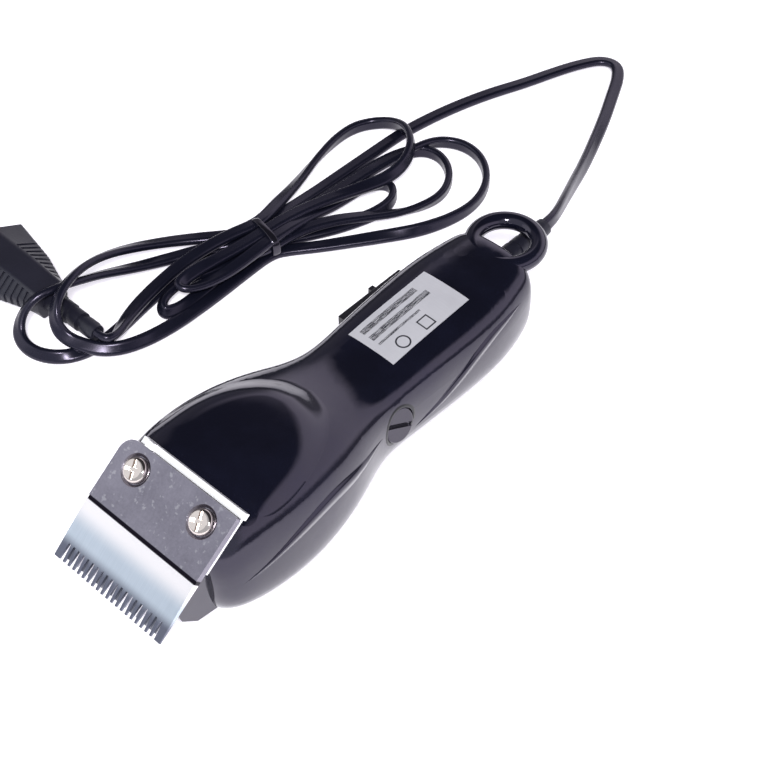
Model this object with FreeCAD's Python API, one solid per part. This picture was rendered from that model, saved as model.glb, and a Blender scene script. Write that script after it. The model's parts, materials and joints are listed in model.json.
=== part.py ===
import FreeCAD, Part
import math
import os
from FreeCAD import Vector

# Mains hair clipper lying on its lid, blade screws up. Millimetres.
# +Y runs from the blade to the hanging loop, +Z is up, +X is the power screw's side.
# The model is drawn with the blade tips at tip_y and moved along Y on export,
# so that the clipper without its cord is centred on the origin.

# Housing shells
wall = 2.2
parting_height = 13.0
head_width = 60.0
waist_width = 40.4
handle_width = 42.4
head_height = 46.5
waist_height = 36.5
handle_height = 39.0
shell_front_y = -72.5
shell_rear_y = 80.0
front_face_width = 42.0
front_face_height = 36.3
brow_width = 50.4
brow_height = 40.5
cheek_width = 55.8
cheek_height = 44.9
rear_face_width = 29.0
rest_flat_depth = 0.3          # the lowest bulge is cut flat by this much
upper_roundness = 3.4
lower_roundness = 2.5
joint_gap = 0.1                # between fixed pieces that slip together
lip_height = 1.5
lip_thickness = 1.2
lip_depth = 2.0                # how far the lip reaches down inside the lid
screw_boss_wall = 2.3

# Hanging loop
loop_centre_y = 84.5
loop_outer_radius = 14.3
loop_rod_radius = 3.1
loop_z = 36.1

# Blade frame: V runs up the slope from the tips, N points out of the blade's face
tip_y = -95.0
tip_z = 21.0
blade_slope = 35.5
blade_width = 46.0
blade_length = 42.2
blade_thickness = 2.5
tip_thickness = 0.7
bevel_length = 20.3
bevel_groove = 1.2
bevel_groove_depth = 0.45
blade_corner_radius = 5.0
tooth_count = 19
tooth_pitch = 2.1
tooth_gap = 1.0
tooth_length = 5.6
cutter_width = 39.6
cutter_length = 19.0
cutter_setback = 1.3
cutter_thickness = 2.1
cutter_tooth_pitch = 3.0
cutter_tooth_gap = 1.5
blade_gap = 0.05               # running gap between the two blades
seat_thickness = 1.0
seat_lip = 2.2                 # bright edge showing behind the blade
seat_lip_height = 1.2
seat_tab_height = 1.3
seat_corner_cut = 4.5

# Blade screws
blade_screw_v = 35.0
blade_screw_spacing = 27.8
screw_head_radius = 4.1
screw_head_height = 2.3
screw_shank_radius = 2.0
screw_seat_radius = 5.1
screw_seat_depth = 0.8
insert_radius = 3.2
insert_length = 6.0
insert_boss_wall = 1.8
screw_hole_gap = 0.3

# Nose under the blade
nose_width = 39.0
nose_shelf_v = 23.5
nose_front_v = 9.0
nose_drop = 3.3
nose_wall = 2.0
seat_block_depth = 4.5

# Vibrating arm
pivot_y = 10.0
arm_z = 22.0
arm_width = 5.0
arm_height = 5.0
arm_rear_y = 0.0
arm_swing_deg = 1.0
arm_rivet_radius = 1.2
arm_rivet_head_radius = 1.9
arm_rivet_head = 0.8
arm_rivet_spacing = 4.0
leaf_thickness = 0.5
leaf_height = 12.0
leaf_front_y = -9.0
leaf_rear_y = 16.0
leaf_slot_gap = 0.25
clamp_plate_thickness = 2.5
clamp_length = 9.1
clamp_height = 13.0
clamp_post_width = 7.5
clamp_screw_radius = 1.25
finger_width = 5.0
finger_length = 3.0
finger_v = 15.7
finger_gap = 0.1
finger_end_gap = 0.6           # room for the finger to swing along the blade
finger_slot_depth = 1.2        # how far the slot goes into the moving blade
shoe_wall = 1.3
guide_thickness = 2.4
guide_width = 24.0
guide_front_v = 12.0
guide_rear_v = 19.6
spring_wire_radius = 0.6
spring_prong_x = 8.0

# Electromagnet
core_thickness = 14.0
core_front_y = -50.0
core_length = 32.0
core_face_x = -9.3
core_side_gap = 4.3             # from the core's yoke to the shell's inside at its widest
core_back_x = -(head_width / 2 - wall - core_side_gap)
core_yoke = 5.0
core_side_leg = 5.0
core_mid_leg = 8.0
armature_gap = 1.8
armature_rivet_radius = 1.3
armature_rivet_inset = 6.0
bobbin_wall = 0.8
bobbin_setback = 0.6
coil_build = 5.4
coil_corner_radius = 2.5
core_screw_radius = 1.5
core_boss_radius = 3.2

# Power screw on the +X side
power_y = 9.1
power_x = 19.6
power_z = 22.4
power_tilt = 15.0
power_head_radius = 6.1
power_head_depth = 3.0
power_shank_radius = 2.5
power_gap = 0.15
power_pitch = 0.8
power_turn_deg = 180.0
power_floor = 2.5              # wall behind the power screw's head
power_boss_wall = 2.2
power_clip_depth = 4.0         # from the head's underside to the clip
power_clip_thickness = 0.8
nut_sleeve_wall = 1.7
nut_sleeve_end = 12.5
nut_gap = 0.2
nut_half = 4.5
nut_start = 8.2
nut_length = 6.8
pad_radius = 2.0
pad_gap = 1.2

# Slide switch on the -X side
switch_front_y = 28.0
switch_length = 30.0
switch_z = 20.5
switch_height = 12.0
switch_stand = 4.0              # how far the switch's face stands out of the handle's side
switch_face_x = -(handle_width / 2 + switch_stand)
switch_travel = 5.0
knob_y = 46.5
knob_length = 12.0
rib_width = 2.2
rib_height = 2.6
knob_stem = 3.0
knob_gap = 0.3
switch_inset = 1.2              # from the wall's inside to the switch body
switch_body_depth = 9.8
contact_inset = 3.3
terminal_inset = 2.6            # from the body's back to where the wires are joined
switch_inner_x = -(handle_width / 2 - wall - switch_inset)
switch_back_x = switch_inner_x + switch_body_depth
contact_x = switch_inner_x + contact_inset
terminal_x = switch_back_x + terminal_inset
contact_thickness = 0.6
bezel_rim = 1.0

# Label
label_length = 36.4
label_width = 19.4
label_y = 35.5
label_thickness = 0.15
label_glue = 0.03

# Lid screws
lid_screw_head_radius = 2.8
lid_screw_head_height = 1.8
lid_screw_shank_radius = 1.5
lid_screw_length = 14.0
lid_screw_floor = 4.0          # what is left of a lid post above its screw's head
lid_post_radius = 4.2
lid_front = (20.0, -57.0)
lid_rear_inset = 7.8            # from the handle's side to the rear screws
lid_rear = (handle_width / 2 - lid_rear_inset, 62.0)

# Cord, strain relief and plug
cord_radius = 2.6
relief_z = 28.8
relief_end_y = 106.0
relief_root_radius = 3.9
relief_tip_radius = 3.1
relief_neck_radius = 3.4
relief_segments = 5
relief_groove_depth = 0.8
relief_flange_radius = 4.8
relief_flange = 2.2
cord_clamp_y = 69.0
cord_clamp_screw_x = 6.6
cord_clamp_width = 19.0
cord_clamp_length = 5.0
cord_clamp_thickness = 2.6
cord_clamp_screw_radius = 1.2
inner_lead_front_y = 61.0
small_head_radius = 2.2
small_head_height = 1.5
wire_radius = 0.9
hank_low = 1.0
hank_high = 13.0
plug_pin_radius = 2.0
plug_pin_length = 19.0
plug_pin_spacing = 19.0
plug_length = 38.0
plug_width = 34.0
plug_thickness = 15.0
plug_neck_width = 13.0
plug_neck_thickness = 11.0
plug_heading = 180.0           # direction of the pins seen from above, from +X
plug_neck_at = (-118.0, -20.8)
plug_relief_length = 24.0
plug_relief_radius = 4.2
plug_relief_segments = 4
plug_flat_width = 10.4          # the flat strip along its top and bottom
plug_side_height = 3.0          # the upright strip along each side
plug_corner = 1.0
plug_rib_count = 9
plug_rib_width = 1.2
plug_rib_depth = 0.7

# The route of the free lead, from the strain relief to inside the hank.
lead_points = [
    (0.0, 106.0, 28.8),
    (0.0, 113.0, 28.8),
    (-5.0, 123.0, 26.5),
    (-13.5, 136.0, 18.5),
    (-23.0, 153.0, 8.5),
    (-29.0, 167.0, 4.2),
    (-35.0, 182.0, 2.8),
    (-41.0, 198.0, 2.8),
    (-46.5, 212.0, 2.8),
    (-50.5, 222.0, 2.8),
    (-54.0, 230.0, 2.8),
    (-60.5, 232.5, 2.8),
    (-67.0, 227.5, 2.8),
    (-72.5, 217.0, 2.8),
    (-80.0, 200.0, 2.8),
    (-87.5, 181.0, 2.8),
    (-93.0, 163.0, 2.8),
    (-96.0, 147.0, 2.8),
    (-97.5, 133.0, 2.8),
]

# The insulated wires inside the handle.
wire_routes = {
    "wire_live": [
        (-1.2, 61.0, 28.8), (-1.2, 57.5, 28.8), (-3.2, 54.0, 27.0), (terminal_x, 51.0, 24.3),
    ],
    "wire_switched": [
        (terminal_x, 39.0, 24.3), (-6.5, 33.5, 27.0), (-10.5, 24.0, 30.4), (-11.5, 8.0, 30.5),
        (-12.5, -8.0, 30.8), (-15.0, -20.0, 31.4), (-15.4, -24.0, 31.6),
    ],
    "wire_neutral": [
        (1.2, 61.0, 28.8), (1.2, 55.0, 28.8), (3.0, 43.0, 31.0), (5.0, 26.0, 32.0),
        (4.5, 10.0, 32.0), (-1.0, -3.0, 31.6), (-9.0, -14.0, 31.0), (-12.2, -20.5, 30.8),
        (-12.4, -24.0, 30.8),
    ],
}

# The outline of the tied hank seen from above.
hank_outline = [
    (-95, 59), (-107, 42), (-117, 25), (-121, 8), (-121, -10), (-120, -25),
    (-121, -37), (-114, -41), (-101, -40), (-89, -31), (-82, -15), (-78, 5),
    (-77, 30), (-80, 50), (-70, 65), (-56, 84), (-44, 102), (-40, 118),
    (-42, 134), (-52, 145), (-67, 149), (-81, 145), (-91, 137), (-103, 137),
    (-111, 129), (-111, 112), (-106, 86),
]
tie_at = (-87.5, 54.0)
tie_heading = 62.0
tie_width = 4.0
tie_thickness = 1.0

# What follows is worked out from the sizes above.
slope = math.radians(blade_slope)
blade_v = Vector(0, math.cos(slope), math.sin(slope))
blade_n = Vector(0, -math.sin(slope), math.cos(slope))
blade_origin = Vector(0, tip_y, tip_z)
power_axis = Vector(math.cos(math.radians(power_tilt)), 0, math.sin(math.radians(power_tilt)))
power_origin = Vector(power_x, power_y, power_z)
front_y = tip_y - tip_thickness * math.sin(slope)
rear_y = loop_centre_y + loop_outer_radius
export_shift = -(front_y + rear_y) / 2
solid_count = {}

# Housing stations: y, half width, top, bottom, height of the widest line
stations = [
    (shell_front_y, front_face_width / 2, front_face_height, 7.0, 20.0),
    (shell_front_y + 3.5, brow_width / 2, brow_height, 2.5, 19.0),
    (shell_front_y + 10.5, cheek_width / 2, cheek_height, 0.2, 18.0),
    (shell_front_y + 24.5, head_width / 2, head_height, -rest_flat_depth, 17.0),
    (shell_front_y + 40.5, head_width / 2 - 0.5, head_height - 1.4, -rest_flat_depth, 17.0),
    (-12.0, (head_width + waist_width) / 4, (head_height + waist_height) / 2 - 1.6, -rest_flat_depth, 19.0),
    (4.0, waist_width / 2, waist_height, 0.1, 19.5),
    (20.0, handle_width / 2 - 1.3, handle_height - 1.7, -rest_flat_depth, 20.0),
    (44.0, handle_width / 2, handle_height - 0.6, -rest_flat_depth, 20.5),
    (shell_rear_y - 18.0, handle_width / 2 - 0.4, handle_height - 0.1, 0.1, 21.0),
    (shell_rear_y - 6.0, handle_width / 2 - 2.6, handle_height + 0.2, 1.6, 22.0),
    (shell_rear_y - 1.4, handle_width / 2 - 4.6, handle_height, 4.2, 22.5),
    (shell_rear_y, rear_face_width / 2, handle_height - 0.7, 6.2, 22.5),
]


def box(x0, x1, y0, y1, z0, z1):
    return Part.makeBox(x1 - x0, y1 - y0, z1 - z0, Vector(x0, y0, z0))


def rod(start, direction, radius, length):
    return Part.makeCylinder(radius, length, start, direction)


def save(node, shape):
    shape = shape.copy()
    shape.translate(Vector(0, export_shift, 0))
    solids = shape.Solids
    out = solids[0] if len(solids) == 1 else Part.makeCompound(solids)
    solid_count[node] = len(solids)
    extent = out.BoundBox
    print(f"{node}: {len(solids)} solid(s), volume {out.Volume:.1f}, valid {out.isValid()}, "
          f"x {extent.XMin:.1f}..{extent.XMax:.1f} y {extent.YMin:.1f}..{extent.YMax:.1f} "
          f"z {extent.ZMin:.1f}..{extent.ZMax:.1f}")
    out.exportStep(f"parts/{node}.step")


def on_blade(x, v, n):
    return blade_origin + Vector(x, 0, 0) + blade_v * v + blade_n * n


def to_blade(shape):
    """Moves a shape drawn with X, V, N as X, Y, Z onto the sloping blade."""
    turned = shape.copy()
    turned.rotate(Vector(0, 0, 0), Vector(1, 0, 0), blade_slope)
    turned.translate(blade_origin)
    return turned


def blade_box(x0, x1, v0, v1, n0, n1):
    return to_blade(box(x0, x1, v0, v1, n0, n1))


def prism_x(points, half_width):
    """A solid with the given (y, z) outline, from -half_width to half_width along X."""
    ring = [Vector(-half_width, y, z) for y, z in points]
    face = Part.Face(Part.makePolygon(ring + [ring[0]]))
    return face.extrude(Vector(2 * half_width, 0, 0))


def prism_z(points, low, high):
    ring = [Vector(x, y, low) for x, y in points]
    face = Part.Face(Part.makePolygon(ring + [ring[0]]))
    return face.extrude(Vector(0, 0, high - low))


def ring_at(y, half_width, top, bottom, middle, inset):
    """One closed cross-section of the housing, drawn smaller by inset."""
    half = half_width - inset
    up = top - middle - inset
    down = middle - bottom - inset
    points = []
    steps = 32
    for index in range(steps):
        turn = 2 * math.pi * (index + 0.5) / steps
        side, rise = math.cos(turn), math.sin(turn)
        power = upper_roundness if rise > 0 else lower_roundness
        x = half * math.copysign(abs(side) ** (2 / power), side)
        reach = up if rise > 0 else down
        z = middle + reach * math.copysign(abs(rise) ** (2 / power), rise)
        points.append(Vector(x, y, z))
    curve = Part.BSplineCurve()
    curve.interpolate(Points=points, PeriodicFlag=True)
    return Part.Wire([curve.toShape()])


def housing_form(inset):
    """The housing's outer form, or its hollow when inset is the wall."""
    wires = [ring_at(*station, inset) for station in stations]
    form = Part.makeLoft(wires, True, False)
    if inset > 0:
        form = form.common(box(-60, 60, shell_front_y + inset, shell_rear_y - inset, inset, 80))
    return form


def tube(points, radius, name):
    """Straight runs joined by tangent arcs, swept with a round section."""
    points = [Vector(*point) for point in points]
    edges = []
    start = points[0]
    length = 0.0
    smallest = 1e9
    for before, corner, after in zip(points, points[1:], points[2:]):
        into = corner - before
        out = after - corner
        turn = into.getAngle(out)
        shorter = min(into.Length, out.Length)
        trim = 0.45 * shorter
        bend = trim / math.tan(turn / 2)
        smallest = min(smallest, bend)
        into.normalize()
        out.normalize()
        begin = corner - into * trim
        end = corner + out * trim
        inward = out - into
        inward.normalize()
        centre = corner + inward * (bend / math.cos(turn / 2))
        middle = centre - inward * bend
        edges.append(Part.LineSegment(start, begin).toShape())
        edges.append(Part.Arc(begin, middle, end).toShape())
        length += (begin - start).Length + bend * turn
        start = end
        print(f"{name}: arc of radius {bend:.1f}, turn {math.degrees(turn):.0f} degrees")
    edges.append(Part.LineSegment(start, points[-1]).toShape())
    length += (points[-1] - start).Length
    path = Part.Wire(edges)
    first = points[1] - points[0]
    section = Part.Wire([Part.Circle(points[0], first, radius).toShape()])
    solid = path.makePipeShell([section], True, False)
    expected = math.pi * radius ** 2 * length
    print(f"{name}: length {length:.1f}, smallest radius {smallest:.1f}, "
          f"volume ratio {solid.Volume / expected:.4f}")
    return solid


def boss(outer, x, y, low, radius):
    """A post hanging from the top wall down to the height low."""
    return rod(Vector(x, y, low), Vector(0, 0, 1), radius, 60).common(outer)


def cross_recess(centre, up, radius, depth):
    """The tool that cuts a cross slot into a screw's head."""
    arms = []
    for angle in (20, 110):
        arm = Part.makeBox(2 * radius * 0.72, radius * 0.26, depth,
                           Vector(-radius * 0.72, -radius * 0.13, -depth))
        arm.rotate(Vector(0, 0, 0), Vector(0, 0, 1), angle)
        arms.append(arm)
    tool = arms[0].fuse(arms[1])
    turn = FreeCAD.Rotation(Vector(0, 0, 1), up)
    tool.Placement = FreeCAD.Placement(centre, turn)
    return tool


def screw(seat, out, head_radius, head_height, shank_radius, length):
    """A domed screw. seat is the underside of its head, out points away from the work."""
    head = rod(seat, out, head_radius, head_height)
    rim = [edge for edge in head.Edges if edge.isClosed()
           and (edge.CenterOfMass - seat).dot(out) > head_height / 2]
    head = head.makeFillet(head_height * 0.6, rim)
    shank = rod(seat - out * length, out, shank_radius, length)
    recess = cross_recess(seat + out * head_height, out, head_radius, head_height * 0.6)
    return head.fuse(shank).cut(recess)


def on_power(depth):
    """A point on the power screw's axis, depth below the housing's face."""
    return power_origin - power_axis * depth


def power_box(half, start, length):
    """A square block along the power screw's axis."""
    block = Part.makeBox(length, 2 * half, 2 * half, Vector(-start - length, -half, -half))
    block.rotate(Vector(0, 0, 0), Vector(0, 1, 0), -power_tilt)
    block.translate(power_origin)
    return block


def nose_profile():
    """Outline (y, z) of the nose that carries the blade."""
    rear = on_blade(0, blade_length + seat_lip, -seat_thickness)
    shelf = on_blade(0, nose_shelf_v, -seat_thickness)
    step = on_blade(0, nose_shelf_v, -nose_drop)
    front = on_blade(0, nose_front_v, -nose_drop)
    return [
        (rear.y, rear.z), (shelf.y, shelf.z), (step.y, step.z), (front.y, front.z),
        (tip_y + 10.8, tip_z - 4.5), (tip_y + 16.3, tip_z - 10.3),
        (shell_front_y + 2.5, tip_z - 12.0), (shell_front_y + 12.5, tip_z - 12.0), (rear.y, tip_z),
    ]


def nose_hollow():
    """Space in the nose for the arm, the guide and the tension spring."""
    under_rear = on_blade(0, blade_length - 6, -seat_block_depth)
    under_front = on_blade(0, nose_shelf_v - nose_wall, -seat_block_depth)
    mouth_rear = on_blade(0, nose_shelf_v - nose_wall, 4)
    mouth_front = on_blade(0, nose_front_v + nose_wall, 4)
    points = [
        (under_rear.y, under_rear.z), (under_front.y, under_front.z),
        (mouth_rear.y, mouth_rear.z), (mouth_front.y, mouth_front.z),
        (tip_y + 12.8, tip_z - 3.6), (tip_y + 17.4, tip_z - 8.2),
        (shell_front_y + 2.5, tip_z - 10.0), (shell_front_y + 14.0, tip_z - 10.0),
    ]
    return prism_x(points, nose_width / 2 - nose_wall)


def blade_screw_points(n):
    half = blade_screw_spacing / 2
    return [on_blade(x, blade_screw_v, n) for x in (-half, half)]


def lid_screw_points():
    return [(side * x, y) for x, y in (lid_front, lid_rear) for side in (-1, 1)]


def core_screw_points():
    x = core_back_x + core_yoke / 2
    return [(x, core_front_y + core_side_leg / 2), (x, core_front_y + core_length - core_side_leg / 2)]


def whole_shell(outer, hollow):
    nose = prism_x(nose_profile(), nose_width / 2)
    loop = Part.makeTorus(loop_outer_radius - loop_rod_radius, loop_rod_radius,
                          Vector(0, loop_centre_y, loop_z), Vector(0, 0, 1))
    shell = outer.fuse(nose).fuse(loop)
    shell = shell.cut(blade_box(-45, 45, -30, blade_length + seat_lip + joint_gap, -seat_thickness, 40))
    shell = shell.cut(box(-60, 60, -120, 120, -20, 0))
    shell = shell.cut(hollow).cut(nose_hollow())
    # power screw: a boss with a stepped bore, and a square sleeve that keeps the nut from turning
    boss_depth = power_head_depth + power_floor
    sleeve = power_box(nut_half + nut_sleeve_wall, boss_depth - 0.5, nut_sleeve_end - boss_depth + 0.5)
    sleeve = sleeve.cut(power_box(nut_half + nut_gap, boss_depth, 12.0))
    collar = rod(on_power(boss_depth), power_axis, power_head_radius + power_boss_wall, boss_depth + 2)
    collar = collar.common(outer)
    shell = shell.fuse(collar).fuse(sleeve)
    head_room = rod(on_power(power_head_depth + power_gap), power_axis, power_head_radius + power_gap, 20)
    shank_room = rod(on_power(boss_depth + 1), power_axis, power_shank_radius + joint_gap, 20)
    shell = shell.cut(head_room).cut(shank_room)
    # switch opening and cord hole
    low, high = switch_levels(bezel_rim)
    rear = switch_front_y + switch_length
    shell = shell.cut(box(-40, -10, switch_front_y + bezel_rim, rear - bezel_rim, low, high))
    hole_radius = relief_neck_radius + joint_gap
    return shell.cut(rod(Vector(0, shell_rear_y - 6, relief_z), Vector(0, 1, 0), hole_radius, 12))


def add_lid_fixings(body, lid, outer):
    """Posts and screw holes that hold the two shells together."""
    post_radius = lid_screw_shank_radius + screw_boss_wall
    counterbore = parting_height - lid_screw_floor
    up = Vector(0, 0, 1)
    for x, y in lid_screw_points():
        body = body.fuse(boss(outer, x, y, parting_height, post_radius))
        body = body.cut(rod(Vector(x, y, parting_height), up, lid_screw_shank_radius, 12))
        post = rod(Vector(x, y, -1), up, lid_post_radius, parting_height + 1).common(outer)
        lid = lid.fuse(post)
        lid = lid.cut(rod(Vector(x, y, -2), up, lid_screw_head_radius + screw_hole_gap, counterbore + 2))
        lid = lid.cut(rod(Vector(x, y, -2), up, lid_screw_shank_radius + joint_gap, 40))
    return body, lid


def locating_lip():
    """The lip inside the lid's rim, cut away round the power screw and the screw posts."""
    outside = wall + joint_gap
    rim = housing_form(outside).cut(housing_form(outside + lip_thickness))
    band = box(-60, 60, shell_front_y + 16, shell_rear_y - 8,
               parting_height - lip_depth, parting_height + lip_height)
    reach = power_head_radius + power_boss_wall + 0.4
    power_room = box(0, 60, power_y - reach, power_y + reach, parting_height, 40)
    return rim.common(band).cut(power_room)


def make_housing(outer, hollow):
    shell = whole_shell(outer, hollow)
    body = shell.common(box(-60, 60, -120, 120, parting_height, 90))
    lid = shell.common(box(-60, 60, -120, 120, -5, parting_height))
    body, lid = add_lid_fixings(body, lid, outer)
    lid = lid.fuse(locating_lip())
    up = Vector(0, 0, 1)
    for x, y in lid_screw_points():
        lid = lid.cut(rod(Vector(x, y, parting_height), up, lid_post_radius, 10))
    # bosses for the magnet core, and the post that holds the leaf spring
    core_top = arm_z + core_thickness / 2
    for x, y in core_screw_points():
        body = body.fuse(boss(outer, x, y, core_top, core_boss_radius))
        body = body.cut(rod(Vector(x, y, core_top), up, core_screw_radius, 8))
    body = body.fuse(leaf_post(outer))
    for z in leaf_screw_heights():
        body = body.cut(rod(Vector(-20, clamp_screw_y(), z), Vector(1, 0, 0), clamp_screw_radius, 30))
    # bosses under the blade's seat take the threaded inserts
    for point in blade_screw_points(-seat_thickness):
        depth = insert_length + 3
        body = body.fuse(rod(point - blade_n * depth, blade_n, insert_radius + insert_boss_wall, depth))
    for point in blade_screw_points(-seat_thickness):
        body = body.cut(rod(point - blade_n * insert_length, blade_n, insert_radius, insert_length + 5))
        clearance = screw_shank_radius + joint_gap
        body = body.cut(rod(point - blade_n * (insert_length + 2), blade_n, clearance, 20))
    # posts for the cord clamp
    seat = relief_z - cord_radius
    for x in (-cord_clamp_screw_x, cord_clamp_screw_x):
        body = body.fuse(boss(outer, x, cord_clamp_y, seat, 2.6))
        body = body.cut(rod(Vector(x, cord_clamp_y, seat), up, cord_clamp_screw_radius, 8))
    return body, lid


def leaf_screw_heights():
    return (arm_z - 3.5, arm_z + 3.5)


def clamp_screw_y():
    return leaf_rear_y + 2.3


def leaf_post(outer):
    side = leaf_thickness / 2 + leaf_slot_gap
    front = pivot_y + 1.5
    post = box(-side - clamp_post_width, -side, front, front + clamp_length, arm_z - 7.5, 60)
    return post.common(outer)


def make_blade():
    half = blade_width / 2
    groove_floor = blade_thickness - bevel_groove_depth
    outline = [
        (0, 0), (blade_length, 0), (blade_length, blade_thickness),
        (bevel_length + bevel_groove / 2, blade_thickness),
        (bevel_length + bevel_groove / 2, groove_floor),
        (bevel_length - bevel_groove / 2, groove_floor),
        (bevel_length - bevel_groove / 2, blade_thickness - 0.1),
        (0, tip_thickness),
    ]
    blade = prism_x(outline, half)
    # one rear corner is rounded, the other is nearly square
    upright = [edge for edge in blade.Edges if edge.Length < blade_thickness + 0.1
               and abs(edge.Vertexes[0].Point.y - blade_length) < 0.01
               and abs(edge.Vertexes[-1].Point.y - blade_length) < 0.01]
    left = [edge for edge in upright if edge.Vertexes[0].Point.x < 0]
    blade = blade.makeFillet(blade_corner_radius, left)
    right = [edge for edge in blade.Edges if abs(edge.Length - blade_thickness) < 0.01
             and edge.Vertexes[0].Point.x > half - 0.01 and edge.Vertexes[0].Point.y > blade_length - 0.01]
    blade = blade.makeFillet(0.8, right)
    gaps = []
    for index in range(tooth_count + 1):
        x = (index - tooth_count / 2) * tooth_pitch
        wide, narrow = tooth_gap * 0.75, tooth_gap * 0.4
        ring = [Vector(x - wide, -1, -1), Vector(x + wide, -1, -1),
                Vector(x + narrow, tooth_length, -1), Vector(x - narrow, tooth_length, -1)]
        face = Part.Face(Part.makePolygon(ring + [ring[0]]))
        gaps.append(face.extrude(Vector(0, 0, blade_thickness + 3)))
    blade = blade.cut(Part.makeCompound(gaps))
    for x in (-blade_screw_spacing / 2, blade_screw_spacing / 2):
        hole = rod(Vector(x, blade_screw_v, -2), Vector(0, 0, 1), screw_shank_radius + screw_hole_gap, 10)
        seat = Part.makeCone(screw_head_radius + 0.15, screw_seat_radius, screw_seat_depth,
                             Vector(x, blade_screw_v, blade_thickness - screw_seat_depth), Vector(0, 0, 1))
        blade = blade.cut(hole).cut(seat)
    return to_blade(blade)


def finger_slot(low, high):
    """The space for the arm's finger, drawn in the blade's own X, V, N."""
    half_x = finger_width / 2 + finger_gap
    half_v = finger_length / 2 + finger_end_gap
    return box(-half_x, half_x, finger_v - half_v, finger_v + half_v, low, high)


def make_cutter():
    half = cutter_width / 2
    front = cutter_setback
    rear = cutter_setback + cutter_length
    bottom = -blade_gap - cutter_thickness
    outline = [(front, -blade_gap), (rear, -blade_gap), (rear, bottom), (front + 7, bottom),
               (front, -blade_gap - tip_thickness + 0.1)]
    cutter = prism_x(outline, half)
    count = int((cutter_width - cutter_tooth_gap) / cutter_tooth_pitch)
    gaps = []
    for index in range(count):
        x = (index - (count - 1) / 2) * cutter_tooth_pitch
        gaps.append(box(x - cutter_tooth_gap / 2, x + cutter_tooth_gap / 2, front - 1, front + 5.0, -6, 1))
    cutter = cutter.cut(Part.makeCompound(gaps))
    return to_blade(cutter.cut(finger_slot(bottom - 1, bottom + finger_slot_depth)))


def make_guide():
    half = guide_width / 2
    top = -blade_gap - cutter_thickness
    block = box(-half, half, guide_front_v, guide_rear_v, top - guide_thickness, top)
    return to_blade(block.cut(finger_slot(top - 10, top + 1)))


def guide_bottom():
    return -blade_gap - cutter_thickness - guide_thickness


def make_tension_spring():
    level = guide_bottom() - joint_gap - spring_wire_radius
    front, rear = guide_front_v + 1.5, nose_shelf_v + 2.5
    ring = [on_blade(-spring_prong_x, front, level), on_blade(-spring_prong_x, rear, level),
            on_blade(spring_prong_x, rear, level), on_blade(spring_prong_x, front, level)]
    pieces = []
    for a, b in zip(ring, ring[1:]):
        along = b - a
        pieces.append(rod(a, along, spring_wire_radius, along.Length))
    pieces += [Part.makeSphere(spring_wire_radius, point) for point in ring[1:3]]
    wire = pieces[0]
    for piece in pieces[1:]:
        wire = wire.fuse(piece)
    return wire


def make_seat_plate():
    half = blade_width / 2
    rear = blade_length + seat_lip
    plate = box(-half, half, nose_shelf_v, rear, -seat_thickness, 0)
    lip_front = blade_length + joint_gap
    lip = box(-half + seat_corner_cut, half + 0.8, lip_front, rear, -seat_thickness, seat_lip_height)
    tab = box(-half + 7.0, -half + 10.0, lip_front, rear, 0, seat_lip_height + seat_tab_height)
    plate = plate.fuse(lip).fuse(tab)
    for x in (-blade_screw_spacing / 2, blade_screw_spacing / 2):
        hole = rod(Vector(x, blade_screw_v, -3), Vector(0, 0, 1), screw_shank_radius + screw_hole_gap, 8)
        plate = plate.cut(hole)
    corner = box(-half - 1, -half + seat_corner_cut, rear - 3.5, rear + 1, -2, 5)
    return to_blade(plate.cut(corner))


def make_blade_screws():
    seat_n = blade_thickness - screw_seat_depth
    shanks = [screw(point, blade_n, screw_head_radius, screw_head_height, screw_shank_radius,
                    seat_n + seat_thickness + insert_length) for point in blade_screw_points(seat_n)]
    return Part.makeCompound(shanks)


def make_inserts():
    rings = []
    for point in blade_screw_points(-seat_thickness):
        outer = rod(point - blade_n * insert_length, blade_n, insert_radius, insert_length)
        rings.append(outer.cut(rod(point - blade_n * 20, blade_n, screw_shank_radius, 40)))
    return Part.makeCompound(rings)


def arm_rivet_places():
    first = leaf_front_y + 2.5
    return (first, first + arm_rivet_spacing)


def make_arm():
    front = on_blade(0, finger_v, 0).y + 9.0
    half = arm_width / 2
    bar = box(-half, half, front, arm_rear_y, arm_z - arm_height / 2, arm_z + arm_height / 2)
    # the rear end is slit for the leaf spring
    slit = box(-leaf_thickness / 2, leaf_thickness / 2, leaf_front_y, arm_rear_y + 1, arm_z - 20, arm_z + 20)
    for y in arm_rivet_places():
        bar = bar.cut(rod(Vector(-5, y, arm_z), Vector(1, 0, 0), arm_rivet_radius, 10))
    return bar.cut(slit), front


def make_leaf():
    leaf = box(-leaf_thickness / 2, leaf_thickness / 2, leaf_front_y, leaf_rear_y,
               arm_z - leaf_height / 2, arm_z + leaf_height / 2)
    for y in arm_rivet_places():
        leaf = leaf.cut(rod(Vector(-5, y, arm_z), Vector(1, 0, 0), arm_rivet_radius, 10))
    return leaf


def make_arm_rivets():
    rivets = []
    half = arm_width / 2
    start = -half - arm_rivet_head
    for y in arm_rivet_places():
        pin = rod(Vector(start, y, arm_z), Vector(1, 0, 0), arm_rivet_radius, arm_width + 2 * arm_rivet_head)
        for x in (start, half):
            pin = pin.fuse(rod(Vector(x, y, arm_z), Vector(1, 0, 0), arm_rivet_head_radius, arm_rivet_head))
        rivets.append(pin)
    return Part.makeCompound(rivets)


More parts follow.
